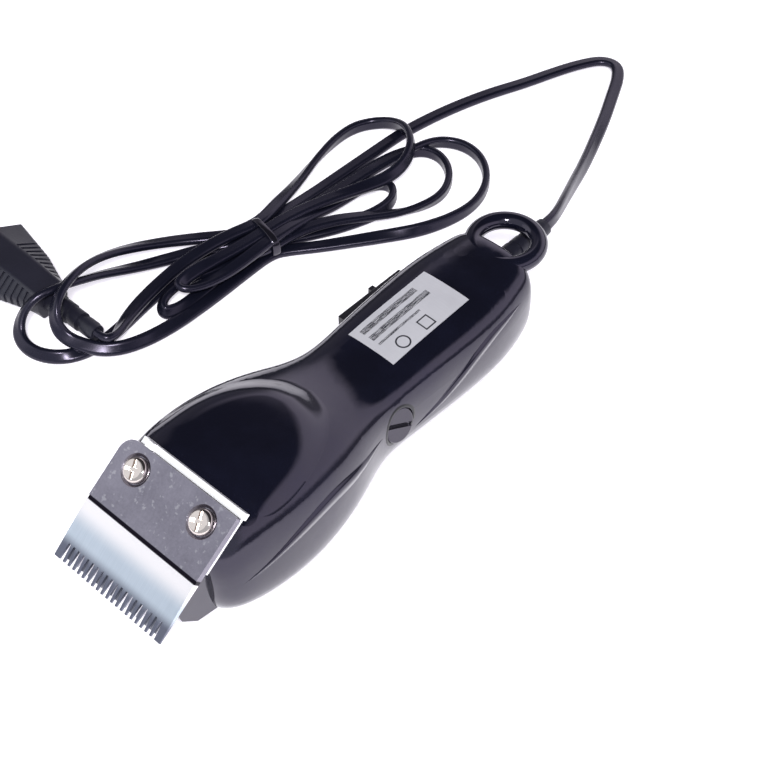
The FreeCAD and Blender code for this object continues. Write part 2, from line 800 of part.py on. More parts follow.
def make_arm_tip(front):
    """Plastic shoe on the arm's front end, with the finger that drives the cutter."""
    half = arm_width / 2 + shoe_wall
    low, high = arm_z - arm_height / 2 - shoe_wall, arm_z + arm_height / 2
    shoe_front = on_blade(0, finger_v, 0).y + 2.5
    shoe = box(-half, half, shoe_front, front + 6, low, high)
    shoe = shoe.cut(box(-arm_width / 2, arm_width / 2, front, front + 8, low + shoe_wall, high + 1))
    finger_top = -blade_gap - cutter_thickness + finger_slot_depth / 2
    finger = blade_box(-finger_width / 2, finger_width / 2, finger_v - finger_length / 2,
                       finger_v + finger_length / 2, -8.6, finger_top)
    return shoe.fuse(finger)


def make_armature():
    rear = core_front_y + core_length
    half_height = core_thickness / 2 - 1
    return box(core_face_x + armature_gap, -arm_width / 2, core_front_y, rear,
               arm_z - half_height, arm_z + half_height)


def make_armature_rivets():
    rivets = []
    face_x = core_face_x + armature_gap
    start = face_x + 0.6
    end = arm_width / 2 + arm_rivet_head
    for y in (core_front_y + armature_rivet_inset, core_front_y + core_length - armature_rivet_inset):
        rivets.append(rod(Vector(start, y, arm_z), Vector(1, 0, 0), armature_rivet_radius, end - start))
    return rivets


def make_core():
    low, high = arm_z - core_thickness / 2, arm_z + core_thickness / 2
    rear = core_front_y + core_length
    core = box(core_back_x, core_face_x, core_front_y, rear, low, high)
    window = (core_length - 2 * core_side_leg - core_mid_leg) / 2
    for start in (core_front_y + core_side_leg, rear - core_side_leg - window):
        gap = box(core_back_x + core_yoke, core_face_x + 1, start, start + window, low - 1, high + 1)
        core = core.cut(gap)
    for x, y in core_screw_points():
        hole = rod(Vector(x, y, low - 1), Vector(0, 0, 1), core_screw_radius + joint_gap, core_thickness + 2)
        core = core.cut(hole)
    return core


def coil_box(margin, x0, x1):
    middle = core_front_y + core_length / 2
    half_y = core_mid_leg / 2 + joint_gap + margin
    half_z = core_thickness / 2 + joint_gap + margin
    return box(x0, x1, middle - half_y, middle + half_y, arm_z - half_z, arm_z + half_z)


def make_bobbin():
    x0 = core_back_x + core_yoke + joint_gap
    x1 = core_face_x - bobbin_setback
    tube_part = coil_box(bobbin_wall, x0, x1)
    flange_a = coil_box(bobbin_wall + coil_build, x0, x0 + bobbin_wall)
    flange_b = coil_box(bobbin_wall + coil_build, x1 - bobbin_wall, x1)
    return tube_part.fuse(flange_a).fuse(flange_b).cut(coil_box(0, x0 - 1, x1 + 1))


def make_coil():
    x0 = core_back_x + core_yoke + joint_gap + bobbin_wall
    x1 = core_face_x - bobbin_setback - bobbin_wall
    coil = coil_box(bobbin_wall + coil_build - 0.4, x0, x1).cut(coil_box(bobbin_wall, x0 - 1, x1 + 1))
    upright = [edge for edge in coil.Edges if abs(edge.Length - (x1 - x0)) < 0.01
               and abs(edge.CenterOfMass.z - arm_z) > core_thickness / 2 + bobbin_wall + 1]
    return coil.makeFillet(coil_corner_radius, upright)


def make_core_screws():
    low = arm_z - core_thickness / 2
    return Part.makeCompound([
        screw(Vector(x, y, low), Vector(0, 0, -1), small_head_radius, small_head_height,
              core_screw_radius, core_thickness + 7)
        for x, y in core_screw_points()])


def make_leaf_clamp():
    side = leaf_thickness / 2 + leaf_slot_gap
    front = pivot_y + 1.5
    rear = front + clamp_length
    low, high = arm_z - clamp_height / 2, arm_z + clamp_height / 2
    plate = box(side, side + clamp_plate_thickness, front, rear, low, high)
    plate = plate.fuse(box(-side, side, leaf_rear_y + 0.4, rear, low, high))
    for z in leaf_screw_heights():
        hole_radius = clamp_screw_radius + joint_gap
        plate = plate.cut(rod(Vector(-5, clamp_screw_y(), z), Vector(1, 0, 0), hole_radius, 20))
    return plate


def make_leaf_screws():
    face = leaf_thickness / 2 + leaf_slot_gap + clamp_plate_thickness
    return Part.makeCompound([
        screw(Vector(face, clamp_screw_y(), z), Vector(1, 0, 0),
              small_head_radius, small_head_height, clamp_screw_radius, 9.0)
        for z in leaf_screw_heights()])


def make_power_screw():
    head = rod(on_power(power_head_depth), power_axis, power_head_radius, power_head_depth + 0.4)
    rim = [edge for edge in head.Edges if edge.isClosed()
           and (edge.CenterOfMass - power_origin).dot(power_axis) > 0]
    head = head.makeFillet(0.6, rim)
    slot = Part.makeBox(2.0, 2 * power_head_radius + 2, 1.6, Vector(-1.2, -power_head_radius - 1, -0.8))
    slot.rotate(Vector(0, 0, 0), Vector(1, 0, 0), -28)
    slot.rotate(Vector(0, 0, 0), Vector(0, 1, 0), -power_tilt)
    slot.translate(power_origin)
    shank = rod(on_power(nut_start + nut_length - 1.2), power_axis, power_shank_radius,
                nut_start + nut_length - 1.2 - power_head_depth + 0.5)
    clip_at = power_head_depth + power_clip_depth
    groove = rod(on_power(clip_at), power_axis, power_shank_radius + 1, power_clip_thickness + joint_gap)
    groove = groove.cut(rod(on_power(clip_at + 0.5), power_axis, power_shank_radius - 0.5, 2))
    return head.fuse(shank).cut(slot).cut(groove)


def make_power_clip():
    """The clip that keeps the power screw from coming out, in the shank's groove."""
    clip_at = power_head_depth + power_clip_depth - joint_gap / 2
    ring = rod(on_power(clip_at), power_axis, power_shank_radius + 1.7, power_clip_thickness)
    return ring.cut(rod(on_power(clip_at + 2), power_axis, power_shank_radius - 0.5, 4))


def make_power_nut():
    block = power_box(nut_half, nut_start, nut_length)
    bore = rod(on_power(nut_start + nut_length - 0.7), power_axis, power_shank_radius + 0.05, nut_length + 2)
    return block.cut(bore)


def make_power_pad():
    start = nut_start + nut_length
    reach = (power_x - leaf_thickness / 2 - pad_gap) / math.cos(math.radians(power_tilt)) - start
    return rod(on_power(start + reach), power_axis, pad_radius, reach)


def switch_levels(inset):
    return switch_z - switch_height / 2 + inset, switch_z + switch_height / 2 - inset


def make_bezel(outer):
    rear = switch_front_y + switch_length
    low, high = switch_levels(0)
    block = box(switch_face_x, -15, switch_front_y, rear, low, high)
    front_edges = [edge for edge in block.Edges if edge.BoundBox.XMax < switch_face_x + 0.01]
    block = block.makeFillet(0.8, front_edges).cut(outer)
    inside = bezel_rim + joint_gap
    low, high = switch_levels(inside)
    plug = box(-handle_width / 2 - 0.3, switch_inner_x, switch_front_y + inside, rear - inside, low, high)
    bezel = block.fuse(plug)
    low, high = switch_levels(1.5)
    reach = knob_length / 2 + knob_gap
    recess = box(switch_face_x - 1, switch_face_x + 1.2,
                 knob_y - reach - switch_travel, knob_y + reach, low, high)
    reach = knob_stem / 2 + knob_gap
    half = knob_stem / 2 + power_gap
    slot = box(-40, -10, knob_y - reach - switch_travel, knob_y + reach, switch_z - half, switch_z + half)
    return bezel.cut(recess).cut(slot)


def make_knob():
    low, high = switch_levels(1.6)
    plate = box(switch_face_x, switch_face_x + 1.0,
                knob_y - knob_length / 2, knob_y + knob_length / 2, low, high)
    rib = box(switch_face_x - rib_height, switch_face_x + 0.5, knob_y - rib_width / 2, knob_y + rib_width / 2,
              low, high)
    edges = [edge for edge in rib.Edges if edge.BoundBox.XMax < switch_face_x - rib_height + 0.01]
    rib = rib.makeFillet(0.7, edges)
    half = knob_stem / 2
    stem = box(switch_face_x + 0.5, contact_x, knob_y - half, knob_y + half, switch_z - half, switch_z + half)
    return plate.fuse(rib).fuse(stem)


def make_switch_contact():
    half = knob_stem / 2
    return box(contact_x, contact_x + contact_thickness, knob_y - half - 0.2, knob_y + half + 0.2,
               switch_z - half - 0.1, switch_z + half + 0.1)


def make_switch_body():
    rear = switch_front_y + switch_length
    low = parting_height + lip_height + 0.3
    body = box(switch_inner_x, switch_back_x, switch_front_y + 5, rear - 1, low, switch_z + 6.5)
    half = knob_stem / 2 + knob_gap
    slot = box(switch_inner_x - 2.2, contact_x + contact_thickness + 0.4, knob_y - 2.0 - switch_travel, knob_y + 2.1,
               switch_z - half, switch_z + half)
    return body.cut(slot)


def make_switch_terminals():
    tabs = [box(switch_back_x, switch_back_x + 4, y - 2, y + 2, switch_z + 2.0, switch_z + 2.8)
            for y in (39.0, 51.0)]
    return Part.makeCompound(tabs)


def make_label():
    half_x, half_y = label_width / 2, label_length / 2
    patch = box(-half_x, half_x, label_y - half_y, label_y + half_y, 25, 60)
    skin = housing_form(-label_glue - label_thickness).common(patch)
    return skin.cut(housing_form(-label_glue))


def make_strain_relief():
    root = shell_rear_y + joint_gap
    inside = shell_rear_y - wall - joint_gap
    flange_front = inside - relief_flange
    profile = [
        (0, flange_front), (relief_flange_radius, flange_front), (relief_flange_radius, inside),
        (relief_neck_radius, inside), (relief_neck_radius, root), (relief_root_radius, root),
    ]
    pitch = (relief_end_y - root) / relief_segments
    for index in range(relief_segments):
        y = root + index * pitch
        taper = (relief_tip_radius - relief_root_radius) / relief_segments
        near = relief_root_radius + taper * index
        groove = near - relief_groove_depth
        profile.append((near, y + pitch * 0.68))
        if index < relief_segments - 1:
            profile += [(groove, y + pitch * 0.70), (groove, y + pitch * 0.98), (near + taper, y + pitch)]
    profile += [(relief_tip_radius, relief_end_y), (0, relief_end_y)]
    ring = [Vector(0, y, relief_z + r) for r, y in profile]
    face = Part.Face(Part.makePolygon(ring + [ring[0]]))
    return face.revolve(Vector(0, 0, relief_z), Vector(0, 1, 0), 360)


def make_cord_clamp():
    half_x, half_y = cord_clamp_width / 2, cord_clamp_length / 2
    top = relief_z - cord_radius
    bar = box(-half_x, half_x, cord_clamp_y - half_y, cord_clamp_y + half_y, top - cord_clamp_thickness, top)
    for x in (-cord_clamp_screw_x, cord_clamp_screw_x):
        bar = bar.cut(rod(Vector(x, cord_clamp_y, 0), Vector(0, 0, 1), cord_clamp_screw_radius + 0.2, 60))
    return bar


def make_clamp_screws():
    low = relief_z - cord_radius - cord_clamp_thickness
    return Part.makeCompound([
        screw(Vector(x, cord_clamp_y, low), Vector(0, 0, -1),
              small_head_radius, small_head_height, cord_clamp_screw_radius, 9.0)
        for x in (-cord_clamp_screw_x, cord_clamp_screw_x)])


def make_inner_lead():
    rear = shell_rear_y - wall - joint_gap - relief_flange
    start = Vector(0, inner_lead_front_y, relief_z)
    return rod(start, Vector(0, 1, 0), cord_radius, rear - inner_lead_front_y)


def plug_placement(shape):
    """Moves a shape drawn with its neck at the origin and pins along +X onto the floor."""
    turned = shape.copy()
    turned.rotate(Vector(0, 0, 0), Vector(0, 0, 1), plug_heading)
    turned.translate(Vector(plug_neck_at[0], plug_neck_at[1], plug_thickness / 2 + 0.05))
    return turned


def plug_section(x, width, height, sunk=0.0):
    """An eight-sided ring with eased corners, its faces sunk inwards for the ribs' grooves."""
    half_w, half_h = width / 2 - sunk, height / 2 - sunk
    flat, side = plug_flat_width / 2, plug_side_height / 2
    quarter = [(half_w, side), (flat, half_h)]
    ring = quarter + [(-y, z) for y, z in reversed(quarter)]
    ring += [(-y, -z) for y, z in ring]
    corners = [Vector(x, y, z) for y, z in ring]
    eased = []
    for index, corner in enumerate(corners):
        before = (corners[index - 1] - corner).normalize()
        after = (corners[(index + 1) % 8] - corner).normalize()
        start, end = corner + before * plug_corner, corner + after * plug_corner
        eased.append((start, corner * 0.5 + (start + end) * 0.25, end))
    edges = []
    for index, (start, middle, end) in enumerate(eased):
        edges.append(Part.Arc(start, middle, end).toShape())
        edges.append(Part.LineSegment(end, eased[(index + 1) % 8][0]).toShape())
    return Part.Wire(edges)


def plug_form(sunk=0.0):
    return Part.makeLoft([
        plug_section(0, plug_neck_width, plug_neck_thickness, sunk),
        plug_section(plug_length * 0.45, plug_width * 0.74, plug_thickness * 0.94, sunk),
        plug_section(plug_length, plug_width, plug_thickness, sunk)], True, True)


def make_plug():
    """The moulded plug, with grooves across its sloping sides for the fingers."""
    pitch = plug_length * 0.066
    slabs = []
    for index in range(plug_rib_count):
        x = plug_length * 0.12 + index * pitch
        for low in (-plug_width, plug_flat_width / 2 + 0.6):
            wide = plug_width - plug_flat_width / 2 - 0.6
            slabs.append(Part.makeBox(plug_rib_width, wide, 40, Vector(x, low, -20)))
    grooves = Part.makeCompound(slabs).cut(plug_form(plug_rib_depth))
    return plug_placement(plug_form().cut(grooves))


def make_plug_pins():
    pins = []
    for side in (-1, 1):
        start = Vector(plug_length, side * plug_pin_spacing / 2, 0)
        pin = rod(start, Vector(1, 0, 0), plug_pin_radius, plug_pin_length)
        tip = [edge for edge in pin.Edges if edge.isClosed()
               and edge.CenterOfMass.x > plug_length + plug_pin_length - 0.1]
        pins.append(pin.makeFillet(1.2, tip))
    return plug_placement(Part.makeCompound(pins))


def make_plug_relief():
    """Segmented sleeve where the cord enters the plug."""
    profile = [(0, 0), (plug_relief_radius, 0)]
    pitch = plug_relief_length / plug_relief_segments
    for index in range(plug_relief_segments):
        near = plug_relief_radius - 0.3 * index
        profile.append((near, -(index + 0.65) * pitch))
        if index < plug_relief_segments - 1:
            profile += [(near - 1.0, -(index + 0.67) * pitch), (near - 1.0, -(index + 0.98) * pitch),
                        (near - 0.3, -(index + 1.0) * pitch)]
    profile += [(cord_radius + 0.3, -plug_relief_length), (0, -plug_relief_length)]
    ring = [Vector(x, 0, r) for r, x in profile]
    face = Part.Face(Part.makePolygon(ring + [ring[0]]))
    return plug_placement(face.revolve(Vector(0, 0, 0), Vector(1, 0, 0), 360))


def make_hank(lead):
    """The filled outer shape of the tied loops, cut away round the plug, its sleeve and the lead."""
    around_plug = Part.makeBox(plug_length + 10, plug_width + 4, 40, Vector(-0.5, -plug_width / 2 - 2, -20))
    around_sleeve = rod(Vector(-plug_relief_length, 0, 0), Vector(1, 0, 0),
                        plug_relief_radius + 0.4, plug_relief_length + 1)
    hank = prism_z(hank_outline, hank_low, hank_high)
    for piece in (around_plug, around_sleeve):
        hank = hank.cut(plug_placement(piece))
    return hank.cut(lead)


def make_tie(hank):
    width, height = 30.0, hank_high + tie_thickness
    ring = Part.makeBox(tie_width, width, height, Vector(-tie_width / 2, -width / 2, 0))
    ring.rotate(Vector(0, 0, 0), Vector(0, 0, 1), tie_heading)
    ring.translate(Vector(tie_at[0], tie_at[1], 0))
    grown = prism_z(hank_outline, hank_low, hank_high).makeOffsetShape(tie_thickness, 0.01)
    return ring.common(grown).cut(hank)


def main():
    os.makedirs("parts", exist_ok=True)
    outer = housing_form(0)
    hollow = housing_form(wall)
    body, lid = make_housing(outer, hollow)
    save("housing_body", body)
    save("housing_lid", lid)
    save("lid_screws", Part.makeCompound([
        screw(Vector(x, y, parting_height - lid_screw_floor), Vector(0, 0, -1), lid_screw_head_radius,
              lid_screw_head_height, lid_screw_shank_radius, lid_screw_length)
        for x, y in lid_screw_points()]))
    save("rating_label", make_label())
    save("blade_seat_plate", make_seat_plate())
    save("fixed_blade", make_blade())
    save("blade_screws", make_blade_screws())
    save("blade_inserts", make_inserts())
    save("moving_blade", make_cutter())
    save("cutter_guide", make_guide())
    save("tension_spring", make_tension_spring())
    arm, arm_front = make_arm()
    rivets = make_armature_rivets()
    armature = make_armature()
    for rivet in rivets:
        arm = arm.cut(rivet)
        armature = armature.cut(rivet)
    save("drive_arm", arm)
    save("arm_tip", make_arm_tip(arm_front))
    save("arm_leaf_spring", make_leaf())
    save("arm_rivets", make_arm_rivets())
    save("armature", armature)
    save("armature_rivets", Part.makeCompound(rivets))
    save("magnet_core", make_core())
    save("coil_bobbin", make_bobbin())
    save("coil_winding", make_coil())
    save("core_screws", make_core_screws())
    save("leaf_clamp", make_leaf_clamp())
    save("leaf_clamp_screws", make_leaf_screws())
    save("power_screw", make_power_screw())
    save("power_screw_clip", make_power_clip())
    save("power_nut", make_power_nut())
    save("power_pad", make_power_pad())
    save("switch_bezel", make_bezel(outer))
    save("switch_knob", make_knob())
    save("switch_contact", make_switch_contact())
    save("switch_body", make_switch_body())
    save("switch_terminals", make_switch_terminals())
    save("strain_relief", make_strain_relief())
    save("cord_clamp", make_cord_clamp())
    save("cord_clamp_screws", make_clamp_screws())
    save("inner_lead", make_inner_lead())
    for name, points in wire_routes.items():
        save(name, tube(points, wire_radius, name))
    lead = tube(lead_points, cord_radius, "cord_lead")
    save("cord_lead", lead)
    hank = make_hank(lead)
    save("cord_hank", hank)
    save("cord_tie", make_tie(hank))
    save("plug_body", make_plug())
    save("plug_pins", make_plug_pins())
    save("plug_strain_relief", make_plug_relief())
    print_joints()


def print_joints():
    """The places, axes and ratios that the record gives for the moving pieces."""
    finger = on_blade(0, finger_v, -4)
    stroke = (pivot_y - finger.y) * math.radians(arm_swing_deg)
    nut_travel = power_pitch * power_turn_deg / 360
    print(f"shift along y {export_shift:.3f}")
    print(f"arm pivot at y {pivot_y + export_shift:.3f}, swing {arm_swing_deg:.1f} degrees, "
          f"cutter ratio {(pivot_y - finger.y) / 1000:.5f} m per radian, stroke {stroke:.3f} mm each way")
    print(f"power screw at {power_x:.3f}, {power_y + export_shift:.3f}, {power_z:.3f}, "
          f"axis {power_axis.x:.5f}, 0, {power_axis.z:.5f}, ratio {power_pitch / (2 * math.pi) / 1000:.7f}, "
          f"nut travel {nut_travel:.2f} mm each way")
    print(f"loop centre y {loop_centre_y + export_shift:.3f}, shell rear y {shell_rear_y + export_shift:.3f}")
    print(f"solids {sum(solid_count.values())} in {len(solid_count)} nodes")


main()
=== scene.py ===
import json
import math
import bmesh
import bpy
from mathutils import Matrix, Vector
from mathutils.bvhtree import BVHTree


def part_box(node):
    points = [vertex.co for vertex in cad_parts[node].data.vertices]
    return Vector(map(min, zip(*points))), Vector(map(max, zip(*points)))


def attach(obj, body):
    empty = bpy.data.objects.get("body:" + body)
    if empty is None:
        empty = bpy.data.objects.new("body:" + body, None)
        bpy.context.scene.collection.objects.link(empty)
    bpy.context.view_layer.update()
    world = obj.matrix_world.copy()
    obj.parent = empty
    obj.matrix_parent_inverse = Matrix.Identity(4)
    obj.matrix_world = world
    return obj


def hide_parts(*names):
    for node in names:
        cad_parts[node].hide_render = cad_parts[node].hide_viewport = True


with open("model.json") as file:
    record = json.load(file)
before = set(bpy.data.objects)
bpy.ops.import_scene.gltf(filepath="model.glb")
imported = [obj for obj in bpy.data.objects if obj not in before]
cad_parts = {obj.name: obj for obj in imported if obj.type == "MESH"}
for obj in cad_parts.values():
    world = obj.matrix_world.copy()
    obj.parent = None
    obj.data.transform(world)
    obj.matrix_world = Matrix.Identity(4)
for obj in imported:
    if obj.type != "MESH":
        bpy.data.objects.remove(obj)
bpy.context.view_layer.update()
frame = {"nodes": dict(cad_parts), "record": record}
mm = 0.001
slopeAngle = math.radians(35.5)  # of the blade's face
bladeTips = (-95.0, 21.0)  # y and z of the blade's tips as drawn
tipThickness = 0.7
tipDrop = tipThickness * math.sin(slopeAngle)
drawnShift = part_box("fixed_blade")[0].y / mm - (bladeTips[0] - tipDrop)  # from the drawn y to the frame's y
drawnSpace = Matrix.Translation((0, drawnShift * mm, 0)) @ Matrix.Scale(mm, 4)
print("drawn shift:", round(drawnShift, 3), "mm")


class Wire:
    # one output in a material; sums and products of it add Math nodes
    def __init__(self, owner, socket):
        self.owner, self.socket = owner, socket

    def out(self, name):
        return Wire(self.owner, self.socket.node.outputs[name])

    def maths(self, operation, first, second=0.0):
        return self.owner.add("ShaderNodeMath", {"operation": operation}, {0: first, 1: second})

    def __add__(self, other): return self.maths("ADD", self, other)
    def __radd__(self, other): return self.maths("ADD", other, self)
    def __sub__(self, other): return self.maths("SUBTRACT", self, other)
    def __rsub__(self, other): return self.maths("SUBTRACT", other, self)
    def __mul__(self, other): return self.maths("MULTIPLY", self, other)
    def size(self): return self.maths("ABSOLUTE", self)

    def above(self, edge, soft):
        return self.owner.add("ShaderNodeMapRange", {"interpolation_type": "SMOOTHSTEP"},
                              {"Value": self, "From Min": edge - soft, "From Max": edge + soft})

    def within(self, low, high, soft):
        return self.above(low, soft) * (1 - self.above(high, soft))


class Graph:
    # the nodes of one material or of the sky
    def __init__(self, tree):
        self.tree = tree

    def add(self, kind, settings=None, values=None):
        node = self.tree.nodes.new(kind)
        for key, value in (settings or {}).items():
            if key == "stops":
                self.setStops(node.color_ramp.elements, value)
            else:
                setattr(node, key, value)
        for key, value in (values or {}).items():
            if isinstance(value, Wire):
                self.tree.links.new(value.socket, node.inputs[key])
            else:
                node.inputs[key].default_value = value
        return Wire(self, node.outputs[0]) if node.outputs else node

    def setStops(self, elements, stops):
        while len(elements) < len(stops):
            elements.new(0.5)
        for element, (place, colour) in zip(elements, stops):
            element.position, element.color = place, (*colour, 1)

    def blend(self, amount, first, second):
        mixed = self.add("ShaderNodeMix", {"data_type": "RGBA"}, {0: amount, 6: first, 7: second})
        return mixed.out(2)


class Finish(Graph):
    # a material with its main shader
    def __init__(self, name, **fixed):
        self.material = bpy.data.materials.new(name)
        self.material.use_nodes = True
        super().__init__(self.material.node_tree)
        self.shader = self.tree.nodes["Principled BSDF"]
        for socket, value in fixed.items():  # the same all over the surface
            self.shader.inputs[socket.replace("_", " ")].default_value = value

    def feed(self, socket, wire):
        self.tree.links.new(wire.socket, self.shader.inputs[socket])
        return self

    def place(self, scale=(1, 1, 1)):  # the object's own coordinates
        coords = self.add("ShaderNodeTexCoord").out("Object")
        return self.add("ShaderNodeMapping", None, {"Vector": coords, "Scale": scale})

    def noise(self, vector, scale, detail=3.0, rough=0.55):
        values = {"Vector": vector, "Scale": scale, "Detail": detail, "Roughness": rough}
        return self.add("ShaderNodeTexNoise", None, values)

    def bump(self, height, strength, distance):
        values = {"Height": height, "Strength": strength, "Distance": distance}
        return self.feed("Normal", self.add("ShaderNodeBump", None, values))


def tint(colour, amount=1.0):
    return tuple(min(1.0, part * amount) for part in colour) + (1.0,)


lilac = (0.84, 0.76, 1.0, 1.0)  # the cast of the reflections on the black plastics


def glossPlastic(name, colour, rough, scuff=0.06, ripple=0.012):
    made = Finish(name, Specular_IOR_Level=0.6, IOR=1.5, Coat_Roughness=0.04, Specular_Tint=lilac)
    where = made.place()
    wear = made.noise(where, 55.0, 6.0, 0.62)
    fine = made.noise(made.place(scale=(1, 3.5, 1)), 900.0, 2.0)
    smears = made.add("ShaderNodeMapRange", None, {"Value": wear, "From Min": 0.42, "From Max": 0.75})
    made.feed("Roughness", smears * scuff + (rough - 0.02) + fine * 0.04)
    made.feed("Base Color", made.blend(smears, tint(colour), tint(colour, 1.7)))
    made.feed("Coat Weight", 0.35 - smears * 0.2)
    return made.bump(made.noise(where, 130.0, 2.0), ripple, 0.0006)


def mouldedPlastic(name, colour, rough, grain=0.12, size=1800.0):
    made = Finish(name, Specular_IOR_Level=0.5)
    where = made.place()
    speckle = made.noise(where, size, 3.0, 0.6)
    cloud = made.noise(where, 90.0, 4.0)
    made.feed("Base Color", made.blend(cloud, tint(colour, 0.8), tint(colour, 1.3)))
    made.feed("Roughness", cloud * 0.12 + (rough - 0.06) + speckle * 0.06)
    return made.bump(speckle, grain, 0.0002)


def brushedMetal(name, colour, rough, along=(1, 60, 60), lines=0.06, stain=0.15, metal=1.0):
    made = Finish(name, Metallic=metal)
    strokes = made.noise(made.place(scale=along), 70.0, 5.0, 0.7)
    cloud = made.noise(made.place(), 160.0, 5.0, 0.6)
    shade = strokes * 0.6 + cloud * 0.4
    made.feed("Base Color", made.blend(shade, tint(colour, 1 - stain), tint(colour, 1 + stain)))
    made.feed("Roughness", strokes * 0.18 + (rough - 0.1) + cloud * 0.06)
    return made.bump(strokes, lines, 0.0001)


def polishedMetal(name, colour, rough, dull=0.1):
    made = Finish(name, Metallic=1.0)
    spots = made.noise(made.place(), 700.0, 4.0, 0.65)
    made.feed("Base Color", made.blend(spots, tint(colour, 0.86), tint(colour, 1.06)))
    made.feed("Roughness", spots * dull + rough)
    return made.bump(made.noise(made.place(), 300.0, 2.0), 0.02, 0.0002)


def wovenCopper():
    made = Finish("enamelled copper", Metallic=1.0, Coat_Weight=0.4)
    values = {"Vector": made.place(), "Scale": 900.0, "Distortion": 0.6, "Detail": 1.0, "Detail Scale": 300.0}
    turns = made.add("ShaderNodeTexWave", {"wave_type": "BANDS", "bands_direction": "X"}, values)
    made.feed("Base Color", made.blend(turns, (0.18, 0.06, 0.02, 1), (0.62, 0.26, 0.1, 1)))
    made.feed("Roughness", 0.5 - turns * 0.25)
    return made.bump(turns, 0.6, 0.0002)


def stackedSheets():
    made = Finish("lacquered laminations", Metallic=0.7)
    settings = {"wave_type": "BANDS", "bands_direction": "Z", "wave_profile": "SAW"}
    values = {"Vector": made.place(), "Scale": 500.0, "Distortion": 0.0}
    sheets = made.add("ShaderNodeTexWave", settings, values)
    rust = made.noise(made.place(), 250.0, 5.0)
    made.feed("Base Color", made.blend(rust, (0.1, 0.1, 0.11, 1), (0.2, 0.17, 0.16, 1)))
    made.feed("Roughness", 0.35 + rust * 0.3)
    return made.bump(sheets, 0.5, 0.0002)


def groundBlade():
    # a flat grey upper part with fine specks, and a brighter hollow-ground part towards the teeth, with a
    # painted highlight band below the groove, painted shade in the groove and painted shade over the teeth
    blade = {
        "groundEnd": 19.7, "grooveEnd": 21.0, "toothRoots": 6.4, "paintedHighlight": (14.0, 22.0),  # up from its tips
        "edgeSoft": 0.15, "rootSoft": 2.2, "highlightSoft": 3.4,
        "upper": ((0.09, 0.085, 0.11, 1), (0.42, 0.4, 0.47, 1)), "pit": (0.9, 0.9, 0.92, 1),
        # bright: the colour of the painted highlight band below the groove
        "lower": ((0.42, 0.49, 0.57, 1), (0.7, 0.77, 0.85, 1)), "bright": (1.0, 0.97, 0.98, 1),
        # root: the colour of the painted shade over the teeth
        # the colour of the painted shade in the groove comes last
        "root": (0.16, 0.17, 0.22, 1), "groove": (0.012, 0.01, 0.016, 1),
    }
    made = Finish("ground blade steel", Metallic=1.0)
    coords = made.add("ShaderNodeTexCoord").out("Object")
    tips = tuple(drawnSpace @ Vector((0, *bladeTips)))
    shifted = made.add("ShaderNodeVectorMath", {"operation": "SUBTRACT"}, {0: coords, 1: tips})
    values = {"Vector": shifted, "Rotation": (-slopeAngle, 0, 0)}
    flat = made.add("ShaderNodeMapping", {"vector_type": "POINT"}, values)
    along = made.add("ShaderNodeSeparateXYZ", None, {"Vector": flat}).out("Y") * 1000.0
    ground = 1 - along.above(blade["groundEnd"], blade["edgeSoft"])
    # painted shade: a dark line in the groove at the end of the ground part
    groove = along.within(blade["groundEnd"], blade["grooveEnd"], blade["edgeSoft"])
    # painted shade: the teeth darker, from their tips up to their roots
    paintedToothShade = 1 - along.above(blade["toothRoots"], blade["rootSoft"])
    # painted highlight: a near-white band across the ground part just below the groove
    paintedHighlight = along.within(*blade["paintedHighlight"], blade["highlightSoft"])
    stretched = made.add("ShaderNodeMapping", None, {"Vector": flat, "Scale": (55, 1, 1)})
    strokes = made.noise(stretched, 60.0, 5.0, 0.7)
    specks = made.noise(flat, 1100.0, 4.0, 0.75)
    cloud = made.noise(flat, 70.0, 4.0)
    pits = made.noise(flat, 520.0, 2.0).above(0.66, 0.05)
    upper = made.blend(specks * 0.4 + cloud * 0.6, *blade["upper"])
    upper = made.blend(pits * 0.2, upper, blade["pit"])
    lower = made.blend(strokes * 0.6 + cloud * 0.4, *blade["lower"])
    lower = made.blend(paintedHighlight, lower, blade["bright"])
    shaded = made.blend(paintedToothShade, lower, blade["root"])
    finished = made.blend(groove, made.blend(ground, upper, shaded), blade["groove"])
    made.feed("Base Color", finished)
    made.feed("Roughness", 0.26 + specks * 0.12 + ground * (strokes * 0.14 + 0.02))
    return made.bump(strokes * ground * 0.6 + specks * 0.4, 0.12, 0.0001)


def cordSheath():
    made = Finish("cord sheath", Specular_IOR_Level=0.45, Specular_Tint=lilac)
    where = made.place()
    grease = made.noise(where, 45.0, 4.0)
    skin = made.noise(where, 1500.0, 2.0)
    made.feed("Base Color", made.blend(grease, (0.003, 0.0034, 0.009, 1), (0.009, 0.010, 0.019, 1)))
    made.feed("Roughness", 0.16 + grease * 0.14 + skin * 0.04)
    return made.bump(skin, 0.06, 0.0002)


